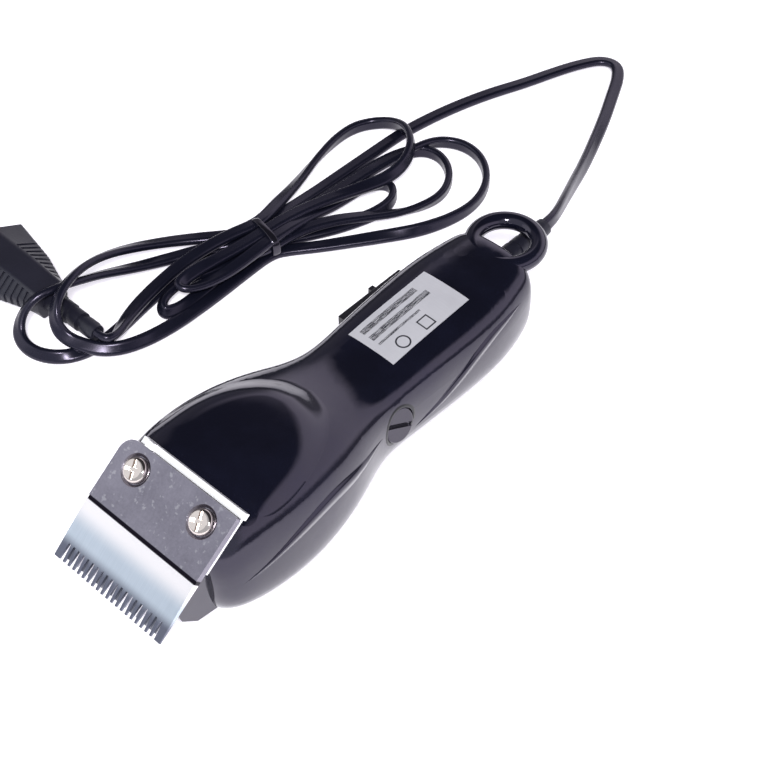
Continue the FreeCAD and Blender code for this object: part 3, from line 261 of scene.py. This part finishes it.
def printedLabel():
    # brushed silver with broken bars and plain outlines in place of print
    label = {
        "rows": ((-6.4, 2.3, 10.0), (-2.4, 2.3, 12.0), (1.0, 0.9, 4.0)),  # place across, width, end
        "rowStart": -15.4, "rowSoft": 0.12, "breaks": 300.0, "breakEdge": (0.44, 0.015),
        "ring": (-9.5, 6.0, 2.6), "frame": (1.5, 6.0, 2.4),  # place along, place across and half the size
        "ringLine": 0.55, "frameLine": 0.5, "lineSoft": 0.1,
        "ink": (0.02, 0.02, 0.03, 1), "silver": ((0.5, 0.5, 0.54, 1), (0.86, 0.86, 0.9, 1)),
    }
    low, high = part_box("rating_label")
    middle = (low + high) / 2
    made = Finish("silver label", Metallic=0.3, Specular_IOR_Level=0.5)
    coords = made.add("ShaderNodeTexCoord").out("Object")
    local = made.add("ShaderNodeVectorMath", {"operation": "SUBTRACT"}, {0: coords, 1: tuple(middle)})
    parts = made.add("ShaderNodeSeparateXYZ", None, {"Vector": local})
    across, along = parts.out("X") * 1000.0, parts.out("Y") * 1000.0
    ink = None
    for index, (row, wide, end) in enumerate(label["rows"]):
        values = {"Vector": local, "Scale": (60, 1, 1), "Location": (index, 0, 0)}
        broken = made.noise(made.add("ShaderNodeMapping", None, values), label["breaks"], 0.0)
        inRow = across.within(row - wide / 2, row + wide / 2, label["rowSoft"])
        bar = inRow * along.within(label["rowStart"], end, label["rowSoft"])
        bar = bar * broken.above(*label["breakEdge"])
        ink = bar if ink is None else ink + bar
    place, row, half = label["ring"]
    squareAlong, squareAcross = (along - place) * (along - place), (across - row) * (across - row)
    away = made.add("ShaderNodeMath", {"operation": "SQRT"}, {0: squareAlong + squareAcross})
    ink = ink + away.within(half - label["ringLine"], half, label["lineSoft"])
    place, row, half = label["frame"]
    sides = {0: (along - place).size(), 1: (across - row).size()}
    away = made.add("ShaderNodeMath", {"operation": "MAXIMUM"}, sides)
    ink = ink + away.within(half - label["frameLine"], half, label["lineSoft"])
    strokes = made.noise(made.place(scale=(1, 40, 1)), 240.0, 4.0, 0.7)
    cloud = made.noise(made.place(), 60.0, 3.0)
    silver = made.blend(strokes * 0.5 + cloud * 0.5, *label["silver"])
    made.feed("Base Color", made.blend(ink, silver, label["ink"]))
    made.feed("Roughness", strokes * 0.14 + 0.26)
    return made.bump(strokes, 0.03, 0.0001)


finishes = {
    "label": printedLabel(),
    "tie": glossPlastic("twist tie sleeve", (0.006, 0.006, 0.009), 0.16, 0.1),
    "shell": glossPlastic("glossy black shell", (0.0036, 0.0041, 0.0095), 0.1),
    "satin": mouldedPlastic("satin black moulding", (0.006, 0.006, 0.009), 0.3, 0.05),
    "powerKnob": glossPlastic("power screw plastic", (0.016, 0.015, 0.021), 0.2, 0.1),
    "blade": groundBlade(),
    "cutter": brushedMetal("cutter steel", (0.5, 0.5, 0.53), 0.32, (60, 1, 60)),
    "plate": brushedMetal("bright seat plate", (0.97, 0.97, 0.98), 0.3, (1, 40, 40), 0.03, 0.03, 0.45),
    "chrome": polishedMetal("domed chrome", (0.66, 0.6, 0.56), 0.05, 0.08),
    "zinc": brushedMetal("zinc plating", (0.6, 0.6, 0.57), 0.34, (30, 30, 1), 0.05),
    "brass": polishedMetal("turned brass", (0.7, 0.5, 0.2), 0.22),
    "spring": brushedMetal("spring steel", (0.36, 0.36, 0.38), 0.3, (1, 50, 50)),
    "guide": mouldedPlastic("natural acetal", (0.78, 0.77, 0.72), 0.42, 0.04),
    "bobbin": mouldedPlastic("black nylon", (0.03, 0.03, 0.034), 0.5),
    "copper": wovenCopper(),
    "iron": stackedSheets(),
    "rubber": mouldedPlastic("black rubber", (0.02, 0.02, 0.02), 0.75, 0.2, 900.0),
    "cord": cordSheath(),
    "plug": mouldedPlastic("plug rubber", (0.012, 0.012, 0.022), 0.4, 0.16, 1400.0),
    "pins": polishedMetal("nickel pins", (0.75, 0.73, 0.69), 0.14, 0.14),
    "brown": mouldedPlastic("brown insulation", (0.2, 0.08, 0.03), 0.4, 0.03),
    "blue": mouldedPlastic("blue insulation", (0.03, 0.1, 0.35), 0.4, 0.03),
}
nodeFinishes = {
    "housing_body": "shell", "housing_lid": "shell", "lid_screws": "zinc", "rating_label": "label",
    "blade_seat_plate": "plate", "fixed_blade": "blade", "blade_screws": "chrome", "blade_inserts": "brass",
    "moving_blade": "cutter", "cutter_guide": "guide", "tension_spring": "spring", "drive_arm": "spring",
    "arm_tip": "guide", "arm_leaf_spring": "spring", "arm_rivets": "zinc", "armature": "iron",
    "armature_rivets": "zinc", "magnet_core": "iron", "coil_bobbin": "bobbin", "coil_winding": "copper",
    "core_screws": "zinc", "leaf_clamp": "zinc", "leaf_clamp_screws": "zinc", "power_screw": "powerKnob",
    "power_screw_clip": "spring", "power_nut": "bobbin", "power_pad": "rubber", "switch_bezel": "satin",
    "switch_knob": "satin", "switch_contact": "brass", "switch_body": "bobbin", "switch_terminals": "brass",
    "strain_relief": "plug", "cord_clamp": "bobbin", "cord_clamp_screws": "zinc", "inner_lead": "cord",
    "wire_live": "brown", "wire_switched": "brown", "wire_neutral": "blue", "cord_lead": "cord",
    "cord_hank": "cord", "cord_tie": "satin", "plug_body": "plug", "plug_pins": "pins",
    "plug_strain_relief": "plug",
}
for node, finish in nodeFinishes.items():
    mesh = frame["nodes"][node].data
    mesh.materials.clear()
    mesh.materials.append(finishes[finish].material)
print("materials:", len(finishes))

bodyOf = {node: body for body, nodes in frame["record"]["behaviour"]["bodies"].items() for node in nodes}


def addPiece(name, shape, finish, node, smooth):
    # shape is a bmesh or a mesh; the CAD node gives the body; edges above smooth degrees stay sharp
    if isinstance(shape, bmesh.types.BMesh):
        mesh = bpy.data.meshes.new(name)
        shape.to_mesh(mesh)
        shape.free()
    else:
        mesh = shape
    mesh.name = name
    mesh.materials.clear()
    mesh.materials.append(finishes[finish].material)
    mesh.shade_smooth()
    mesh.set_sharp_from_angle(angle=math.radians(smooth))
    piece = bpy.data.objects.new(name, mesh)
    bpy.context.scene.collection.objects.link(piece)
    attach(piece, bodyOf[node])
    return piece


def loft(rings, closed=True):
    # a tube through rings of equally many points, in order, with flat ends
    shape = bmesh.new()
    seat = shape.verts.layers.int.new("seat")
    start = bmesh.ops.create_circle(shape, segments=len(rings[0]), radius=1.0)["verts"]
    for index, vert in enumerate(start):
        vert[seat] = index
        vert.co = rings[0][index]
    edges = shape.edges[:]
    first = list(edges)
    for ring in rings[1:]:
        grown = bmesh.ops.extrude_edge_only(shape, edges=edges)["geom"]
        edges = [item for item in grown if isinstance(item, bmesh.types.BMEdge)]
        for vert in grown:
            if isinstance(vert, bmesh.types.BMVert):
                vert.co = ring[vert[seat]]
    if closed:
        bmesh.ops.contextual_create(shape, geom=first)
        bmesh.ops.contextual_create(shape, geom=edges)
    bmesh.ops.recalc_face_normals(shape, faces=shape.faces)
    return shape


def looseObject(shape):
    mesh = bpy.data.meshes.new("loose")
    shape.to_mesh(mesh)
    shape.free()
    loose = bpy.data.objects.new("loose", mesh)
    bpy.context.scene.collection.objects.link(loose)
    return loose


def settle(loose):
    # the object's mesh with its modifiers applied; the object goes
    bpy.context.view_layer.update()
    graph = bpy.context.evaluated_depsgraph_get()
    mesh = bpy.data.meshes.new_from_object(loose.evaluated_get(graph))
    old = loose.data
    bpy.data.objects.remove(loose)
    bpy.data.meshes.remove(old)
    return mesh


studio = {
    # the camera's place and target are in drawn millimetres
    "camera": (228.24, -222.85, 392.62), "target": (7.39, 17.23, 24.0), "roll": -0.37, "lens": 71.32,
    "floorSize": 4.0, "floorColour": (0.9, 0.9, 0.9, 1), "floorGlow": 0.62, "glowColour": (0.95, 0.91, 1.0, 1),
    # the lamps' places and sizes are in metres
    "key": {"place": (0.42, -0.42, 0.80), "size": 0.16, "power": 8.0},
    "fill": {"place": (-0.9, -0.7, 0.5), "size": 1.0, "power": 1.2},
    "sky": ((0.0, 0.2), (0.12, 0.25), (0.24, 1.2), (0.56, 1.1), (0.68, 0.05), (1.0, 0.05)),  # height, level
    "skyCast": (0.93, 0.88, 1.0),
    "dark": {"edge": -0.62, "soft": 0.1, "kept": 0.15, "colour": (0.05, 0.05, 0.06, 1)},  # on the left
    "front": {"edge": -0.3, "soft": 0.15, "level": 0.72, "colour": (0.9, 0.93, 1.0)},  # at the front
}


def setCamera():
    data = bpy.data.cameras.new("camera")
    data.lens = studio["lens"]
    data.clip_start, data.clip_end = 0.01, 20
    camera = bpy.data.objects.new("camera", data)
    bpy.context.scene.collection.objects.link(camera)
    camera.location = drawnSpace @ Vector(studio["camera"])
    away = drawnSpace @ Vector(studio["target"]) - camera.location
    turn = away.to_track_quat("-Z", "Y").to_matrix().to_4x4()
    roll = Matrix.Rotation(math.radians(studio["roll"]), 4, "Z")
    camera.matrix_world = Matrix.Translation(camera.location) @ turn @ roll
    bpy.context.scene.camera = camera


def addLamp(name):
    # a round lamp aimed at the middle of the frame
    values = studio[name]
    data = bpy.data.lights.new(name, "AREA")
    data.shape = "DISK"
    data.size, data.energy = values["size"], values["power"]
    lamp = bpy.data.objects.new(name, data)
    bpy.context.scene.collection.objects.link(lamp)
    lamp.location = values["place"]
    lamp.rotation_euler = (-Vector(values["place"])).to_track_quat("-Z", "Y").to_euler()


def setFloor():
    floorMesh = bpy.data.meshes.new("floor")
    shape = bmesh.new()
    bmesh.ops.create_grid(shape, x_segments=1, y_segments=1, size=studio["floorSize"])
    shape.to_mesh(floorMesh)
    shape.free()
    floor = bpy.data.objects.new("floor", floorMesh)
    bpy.context.scene.collection.objects.link(floor)
    white = Finish("pale floor", Roughness=0.9, Specular_IOR_Level=0.05,
                   Emission_Strength=studio["floorGlow"])
    white.shader.inputs["Base Color"].default_value = studio["floorColour"]
    white.shader.inputs["Emission Color"].default_value = studio["glowColour"]
    floorMesh.materials.append(white.material)


def setSky():
    # levels by height, dimmed on the left and even at the front; plain white where the camera sees it
    world = bpy.data.worlds.new("studio")
    bpy.context.scene.world = world
    world.use_nodes = True
    world.node_tree.nodes.clear()
    sky = Graph(world.node_tree)
    parts = sky.add("ShaderNodeSeparateXYZ", None, {"Vector": sky.add("ShaderNodeTexCoord").out("Generated")})
    stops = [(place, [level * part for part in studio["skyCast"]]) for place, level in studio["sky"]]
    levels = sky.add("ShaderNodeValToRGB", {"stops": stops}, {"Fac": parts.out("Z")})
    dark, before = studio["dark"], studio["front"]
    lit = parts.out("X").above(dark["edge"], dark["soft"]) * (1 - dark["kept"]) + dark["kept"]
    dimmed = sky.blend(lit, dark["colour"], levels)
    front = 1 - parts.out("Y").above(before["edge"], before["soft"])
    shown = sky.blend(front, dimmed, tint(before["colour"], before["level"]))
    seen = sky.add("ShaderNodeLightPath").out("Is Camera Ray")
    values = {"Color": sky.blend(seen, shown, (1, 1, 1, 1)), "Strength": 1.0}
    sky.add("ShaderNodeOutputWorld", None, {"Surface": sky.add("ShaderNodeBackground", None, values)})


setCamera()
setFloor()
setSky()
addLamp("key")
addLamp("fill")
bpy.context.scene.view_settings.view_transform = "Standard"
print("camera and light set")


cord = {
    "width": 5.2, "thickness": 3.2, "sides": 20,
    "waist": 0.35, "waistSpread": 2.6,  # the groove between the two cores
    "sideRound": 0.75, "topRound": 0.8,  # 1 gives an ellipse
}
# x, y, z and roll in degrees: 0 lies flat, 90 stands on edge
leadRoute = [
    (0, 106, 28.8, 60), (-0.5, 111, 28.3, 80), (-3, 118, 26.2, 85), (-8, 129, 22.0, 80), (-15, 144, 15.5, 70),
    (-22, 160, 9.8, 55), (-29.5, 177, 6.2, 42), (-37, 194, 4.2, 32),
    (-44.5, 209.5, 3.1, 25), (-50, 221, 2.7, 20),
    (-55.5, 227.5, 2.6, 15), (-62.5, 226, 2.5, 12), (-68, 217, 2.3, 10), (-72.5, 206, 2.1, 8),
    (-77, 193, 1.9, 5), (-83.3, 178.2, 1.8, 0), (-88.3, 162, 1.7, 0),
    (-91.6, 146, 1.7, 0), (-93, 134, 1.7, 0),
]
# the hank goes nine times through its tie: in, round each loop in turn, and out to the plug
hankRoute = [
    (-93.3, 120, 1.7, 0), (-93.6, 103, 1.7, 0), (-93.6, 86, 2.0, 0),
    (-93.2, 70, 3.6, 0), (-92.1, 55.6, 5.0, 0),
    (-97.0, 47, 5.0, 0), (-105.3, 38, 4.6, 0), (-112.6, 27.6, 5.4, 10),
    (-117.0, 15, 8.4, 20), (-118, 3.5, 12.0, 35),
    (-116.2, -6.5, 15.2, 45), (-113.4, -15.4, 16.9, 45), (-110.6, -22.6, 16.4, 45), (-107.8, -27.4, 13.4, 45),
    (-104.6, -29.4, 9.0, 45), (-100.6, -28.6, 6.0, 40), (-95.6, -26.4, 4.9, 30), (-90.4, -23.2, 3.8, 40),
    (-86.0, -17.6, 3.2, 55), (-83.0, -9.6, 3.0, 50), (-81.4, 0, 2.8, 30),
    (-81.2, 12, 2.0, 0), (-81.6, 25, 1.7, 0),
    (-82.2, 38, 1.7, 0), (-82.5, 51.8, 1.7, 0),
    (-78.6, 58, 1.7, 0), (-72.0, 66, 1.7, 0), (-64.4, 76, 2.2, 10),
    (-56.4, 86.4, 2.8, 30), (-49.4, 96.5, 3.1, 60),
    (-45.0, 107.5, 3.0, 80), (-43.2, 119, 2.8, 90), (-45.6, 130, 2.7, 90), (-51.8, 139, 2.7, 90),
    (-60.5, 144.6, 2.7, 90), (-70.0, 145.4, 2.7, 90), (-77.4, 140.2, 3.4, 80), (-80.4, 131, 5.2, 50),
    (-82.4, 120, 5.2, 20), (-84.6, 108, 4.6, 0), (-85.4, 95, 4.6, 0),
    (-86.2, 82, 4.8, 0), (-87.0, 68, 5.0, 0),
    (-87.3, 53.7, 5.0, 0),
    (-93.4, 45.0, 5.2, 0), (-101.2, 34.4, 3.8, 0), (-107.6, 22.6, 3.0, 0), (-112.0, 9.8, 5.0, 15),
    (-114.4, -1.6, 8.6, 30), (-114.6, -11.4, 12.2, 40), (-116.0, -20.0, 14.4, 40), (-118.0, -27.4, 14.0, 40),
    (-119.0, -33.4, 9.6, 40), (-116.8, -37.8, 5.2, 40), (-111.4, -39.6, 3.4, 50), (-104.6, -38.6, 3.1, 60),
    (-98.6, -34.4, 2.8, 50), (-95.0, -28.0, 2.3, 20), (-94.0, -19.4, 1.7, 0), (-95.0, -9.4, 1.7, 0),
    (-96.9, 1.4, 1.7, 0), (-98.5, 13, 1.7, 0), (-99.0, 26, 1.7, 0),
    (-97.4, 40, 1.7, 0), (-92.1, 55.6, 1.7, 0),
    (-90.2, 70, 1.7, 0), (-89.2, 86, 1.7, 0), (-88.4, 101, 1.8, 0),
    (-86.4, 114, 2.6, 20), (-83.6, 125, 3.0, 60),
    (-79.4, 132.4, 2.7, 85), (-72.2, 134.2, 2.7, 90), (-64.6, 131, 2.7, 90), (-58.6, 124.4, 2.7, 90),
    (-55.8, 115.6, 2.9, 80), (-57.6, 106, 3.1, 60), (-62.4, 97.6, 2.8, 30), (-68.0, 88.6, 4.2, 10),
    (-75.4, 77, 5.2, 0), (-80.8, 65, 5.2, 0), (-82.5, 51.8, 5.0, 0),
    (-85.2, 42.6, 5.0, 0), (-89.0, 32.6, 4.9, 0), (-92.0, 23.6, 4.9, 10),
    (-93.4, 14.4, 4.9, 30), (-91.6, 6.2, 4.2, 55),
    (-87.4, 3.4, 3.4, 60), (-85.4, 9.4, 2.4, 40), (-86.4, 19.6, 1.7, 10),
    (-87.2, 31, 1.7, 0), (-87.4, 43, 1.7, 0),
    (-87.3, 53.7, 1.7, 0),
    (-82.4, 63, 1.7, 0), (-76.2, 73, 1.7, 0), (-70.8, 83.4, 2.8, 30),
    (-67.2, 93.6, 3.1, 60), (-68.0, 103, 2.9, 85),
    (-73.2, 108.4, 2.8, 90), (-79.0, 106, 2.7, 80), (-81.6, 96, 2.2, 40),
    (-82.6, 83.6, 3.4, 0), (-83.0, 68.6, 6.6, 0),
    (-82.5, 51.8, 8.3, 0),
    (-82.4, 41.4, 7.8, 0), (-83.4, 31, 6.4, 0), (-85.2, 21.4, 6.0, 20),
    (-87.8, 14.4, 6.6, 45), (-91.0, 14.2, 7.6, 50),
    (-91.4, 22, 8.0, 30), (-89.6, 32, 8.2, 0), (-88.0, 42.8, 8.3, 0), (-87.3, 53.7, 8.3, 0),
    (-86.8, 64, 8.0, 0), (-85.2, 75, 7.4, 0), (-82.0, 86, 7.2, 0),
    (-78.4, 96.6, 7.0, 20), (-75.0, 107, 6.8, 40),
    (-75.0, 117.6, 8.0, 60), (-79.4, 126.4, 9.4, 75), (-87.4, 132.6, 8.6, 80), (-96.6, 135.4, 5.0, 85),
    (-104.4, 132.4, 2.8, 90), (-108.8, 124.4, 2.8, 90), (-108.8, 113.2, 3.0, 80), (-106.0, 99.4, 3.0, 60),
    (-101.6, 84.6, 3.0, 30), (-96.6, 69.4, 6.0, 0), (-92.1, 55.6, 8.3, 0),
    (-95.4, 44, 8.3, 0), (-98.4, 32.6, 6.8, 0), (-99.6, 21, 5.2, 0),
    (-98.4, 9.6, 4.9, 0), (-96.2, -1, 4.9, 0),
    (-93.2, -9.6, 5.2, 20), (-90.0, -15.2, 6.0, 45), (-89.2, -19.4, 7.0, 60), (-91.0, -20.8, 7.5, 60),
    (-94.4, -20.8, 7.55, 60),
]


def routeLine(route):
    # points along a smooth line that is led by the route
    curve = bpy.data.curves.new("route", "CURVE")
    curve.dimensions = "3D"
    spline = curve.splines.new("NURBS")
    spline.points.add(len(route) - 1)
    for point, place in zip(spline.points, route):
        point.co = (*(drawnSpace @ Vector(place[:3])), 1)
    spline.order_u, spline.use_endpoint_u = 3, True
    curve.resolution_u = 8
    line = bpy.data.objects.new("route", curve)
    bpy.context.scene.collection.objects.link(line)
    bpy.context.view_layer.update()
    mesh = bpy.data.meshes.new_from_object(line.evaluated_get(bpy.context.evaluated_depsgraph_get()))
    points = [vert.co.copy() for vert in mesh.vertices]
    bpy.data.objects.remove(line)
    bpy.data.curves.remove(curve)
    bpy.data.meshes.remove(mesh)
    return points


def headingAt(points, index):  # from the point before to the point after
    return (points[min(index + 1, len(points) - 1)] - points[max(index - 1, 0)]).normalized()


def rollAt(route, share):  # share is the part of the line behind the place
    place = max(0.0, min(len(route) - 1.001, share * (len(route) - 2) + 0.5))
    index = int(place)
    part = place - index
    return math.radians(route[index][3] * (1 - part) + route[index + 1][3] * part)


def roundedCorners(sides, sideRound, topRound):
    # across and up, from -1 to 1, round a shape between an ellipse and a box
    corners = []
    for index in range(sides):
        angle = 2 * math.pi * index / sides
        across, up = math.cos(angle), math.sin(angle)
        corners.append((math.copysign(abs(across) ** sideRound, across),
                        math.copysign(abs(up) ** topRound, up)))
    return corners


def cordSection():
    # a flat twin: two round cores side by side under one sheath
    half, low, dip = cord["width"] / 2, cord["thickness"] / 2, cord["waist"]
    corners = roundedCorners(cord["sides"], cord["sideRound"], cord["topRound"])
    return [(half * across, up * (low - dip * math.exp(-(across * cord["waistSpread"]) ** 2)))
            for across, up in corners]


tie = {
    "middle": (-87.3, 53.7), "heading": 69.6, "half": 8.3, "low": 0.75, "high": 10.4, "width": 3.0,
    "wall": 0.6, "sides": 48, "round": 0.7, "places": (-0.5, -0.3, 0.0, 0.3, 0.5),
    "narrow": 0.22, "swell": 0.18, "skew": 1.1,  # narrower on top, fuller in the middle, drawn askew
    "bevel": 0.15, "bevelAngle": 50,
}


def makeTie():
    # a flat sleeve drawn tight round the bundle, narrowest on top
    middle, half = (tie["low"] + tie["high"]) / 2, (tie["high"] - tie["low"]) / 2
    space = (drawnSpace @ Matrix.Translation((*tie["middle"], middle))
             @ Matrix.Rotation(math.radians(tie["heading"] - 90), 4, "Z"))
    rings = []
    for place in tie["places"]:
        swell = tie["swell"] * (1 - (place * 2) ** 2)
        ring = []
        for across, up in roundedCorners(tie["sides"], tie["round"], tie["round"]):
            wide = place * tie["width"] * (1 - tie["narrow"] * max(0.0, up) ** 2) + tie["skew"] * across
            ring.append(space @ Vector((across * (tie["half"] + swell), wide, up * (half + swell))))
        rings.append(ring)
    band = looseObject(loft(rings, closed=False))
    wall = band.modifiers.new("wall", "SOLIDIFY")
    wall.thickness, wall.offset, wall.use_even_offset = tie["wall"] * mm, 0.0, True
    edge = band.modifiers.new("edge", "BEVEL")
    edge.width, edge.segments = tie["bevel"] * mm, 2
    edge.limit_method, edge.angle_limit = "ANGLE", math.radians(tie["bevelAngle"])
    piece = addPiece("bundle_tie", settle(band), "tie", "cord_tie", 50)
    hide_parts("cord_tie")
    return piece


def makeCord():
    route = leadRoute + hankRoute
    points = routeLine(route)
    section = cordSection()
    rings = []
    for index, point in enumerate(points):
        ahead = headingAt(points, index)
        side = ahead.cross(Vector((0, 0, 1))).normalized()
        roll = rollAt(route, index / (len(points) - 1))
        across = Matrix.Rotation(roll, 3, ahead) @ side
        up = across.cross(ahead)
        rings.append([point + (across * x + up * z) * mm for x, z in section])
    piece = addPiece("mains_cord", loft(rings), "cord", "cord_lead", 60)
    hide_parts("cord_lead", "cord_hank")
    endNames = ("plug_body", "plug_pins", "plug_strain_relief", "strain_relief")
    ends = [frame["nodes"][name] for name in endNames]
    ends + [makeTie()]


makeCord()
print("cord made")

shellMesh = frame["nodes"]["housing_body"].data
shellFaces = [face.vertices for face in shellMesh.polygons]
shellTree = BVHTree.FromPolygons([vert.co for vert in shellMesh.vertices], shellFaces)

flank = {
    "lines": {  # y and z
        "head": ((-66, 22.5), (-54, 27.0), (-42, 30.0), (-30, 30.6), (-18, 28.2), (-8, 26.0), (0, 25.0)),
        "handle": ((17, 14.5), (26, 16.5), (36, 21.5), (47, 27.5), (58, 30.5), (70, 31.0)),
    },
    "width": 6.4, "height": 0.85, "crest": 0.36, "sunk": 0.12, "steps": 12, "fade": 0.6, "leastWidth": 0.15,
    "proud": 0.005, "root": 0.5, "castFrom": 60,
}


def creaseRing(point, ahead, share, sign):
    # the ridge's section at a point of its line; share is the part of the line behind the point
    up = Vector((0, -ahead.z, ahead.y)) if ahead.y > 0 else Vector((0, ahead.z, -ahead.y))
    fade = math.sin(math.pi * share) ** flank["fade"] if 0 < share < 1 else 0.0
    width, height = max(flank["leastWidth"], flank["width"] * fade) * mm, flank["height"] * fade * mm
    fall = flank["crest"]  # the part of the width above the crest
    top, under = [], []
    for step in range(flank["steps"] + 1):
        place = step / flank["steps"]
        rise = place / (1 - fall) if place < 1 - fall else (1 - place) / fall
        rise = 0.5 - 0.5 * math.cos(math.pi * rise)
        start = Vector((sign * flank["castFrom"] * mm, point.y, point.z)) + up * (place - 0.5) * width
        hit, normal = shellTree.ray_cast(start, Vector((-sign, 0, 0)))[:2]
        top.append(hit + normal * (height * rise + flank["proud"] * mm - flank["sunk"] * mm * (1 - rise)))
        under.append(hit - normal * flank["root"] * mm)
    return top + under[::-1]


def makeCreases():
    # a low ridge with its crest nearer its upper edge, laid on the shell and dying away at both ends
    for side, sign in (("left", -1), ("right", 1)):
        for line, route in flank["lines"].items():
            middle = routeLine([(0, y, z) for y, z in route])
            rings = [creaseRing(point, headingAt(middle, index), index / (len(middle) - 1), sign)
                     for index, point in enumerate(middle)]
            piece = addPiece(f"{line}_crease_{side}", loft(rings), "shell", "housing_body", 60)
            print("crease", piece.name)


crown = {
    "outline": (  # x and y
        (0, -8.8), (7, -9.8), (14, -15), (20, -24), (24, -34), (26, -44), (25.5, -53), (22, -56.6),
        (0, -56.6), (-20, -56.6), (-23, -53), (-24, -44), (-22.5, -34), (-19, -24), (-13.5, -15), (-7, -9.8),
        (0, -8.8),
    ),
    "centre": (0, -36), "level": 46.7, "levelFrom": -46, "fall": 0.03, "bow": 0.0012, "shoulder": 0.5,
    "shares": (  # the rings from the edge inwards
        1.0, 0.99, 0.96, 0.93, 0.9, 0.87, 0.84, 0.81, 0.78, 0.75,
        0.72, 0.69, 0.66, 0.62, 0.58, 0.54, 0.5, 0.36, 0.2, 0.05,
    ),
    "proud": 0.01, "edgeSunk": -0.4, "castFrom": 80,
}


def makeCrown():
    # the flat dark panel on the head, level nearly to its rear and rolled down to the shell at its edge
    outline = routeLine([(x, y, 0) for x, y in crown["outline"]])[:-1]
    centre = drawnSpace @ Vector((*crown["centre"], 0))
    rings = []
    for share in crown["shares"]:
        part = min(1.0, (1 - share) / (1 - crown["shoulder"]))
        part = part * part * (3 - 2 * part)
        seat = crown["proud"] if share < 1 else crown["edgeSunk"]
        ring = []
        for point in outline:
            spot = centre + (point - centre) * share
            hit = shellTree.ray_cast(Vector((spot.x, spot.y, crown["castFrom"] * mm)), Vector((0, 0, -1)))[0]
            back = max(0.0, spot.y / mm - drawnShift - crown["levelFrom"])
            level = (crown["level"] - crown["fall"] * back - crown["bow"] * back ** 2) * mm
            lift = max(0.0, level - hit.z) * part
            ring.append(Vector((hit.x, hit.y, hit.z + lift + seat * mm)))
        rings.append(ring)
    piece = addPiece("head_panel", loft(rings), "shell", "housing_body", 25)
    print("head panel:", len(piece.data.polygons), "faces")


recess = {
    "centre": (19.6, 9.1, 22.4), "tilt": 15, "sides": 64, "castFrom": 30,
    "rings": (  # radius and lift
        (6.3, -0.4), (6.32, 0.02), (6.5, 0.16), (6.95, 0.16), (7.4, 0.02), (7.42, -0.4),
    ),
}


def makeRecess():
    # the dark rim round the power screw's hole, square to the screw
    turn = Matrix.Rotation(math.radians(-recess["tilt"]), 3, "Y")
    rings = []
    for radius, lift in recess["rings"]:
        ring = []
        for index in range(recess["sides"]):
            angle = 2 * math.pi * index / recess["sides"]
            spot = turn @ Vector((recess["castFrom"], radius * math.cos(angle), radius * math.sin(angle)))
            start = drawnSpace @ (Vector(recess["centre"]) + spot)
            hit, normal = shellTree.ray_cast(start, turn @ Vector((-1, 0, 0)))[:2]
            ring.append(hit + normal * lift * mm)
        rings.append(ring)
    addPiece("power_screw_rim", loft(rings, closed=False), "satin", "housing_body", 40)
    print("rim round the power screw made")


makeCreases()
makeCrown()
makeRecess()
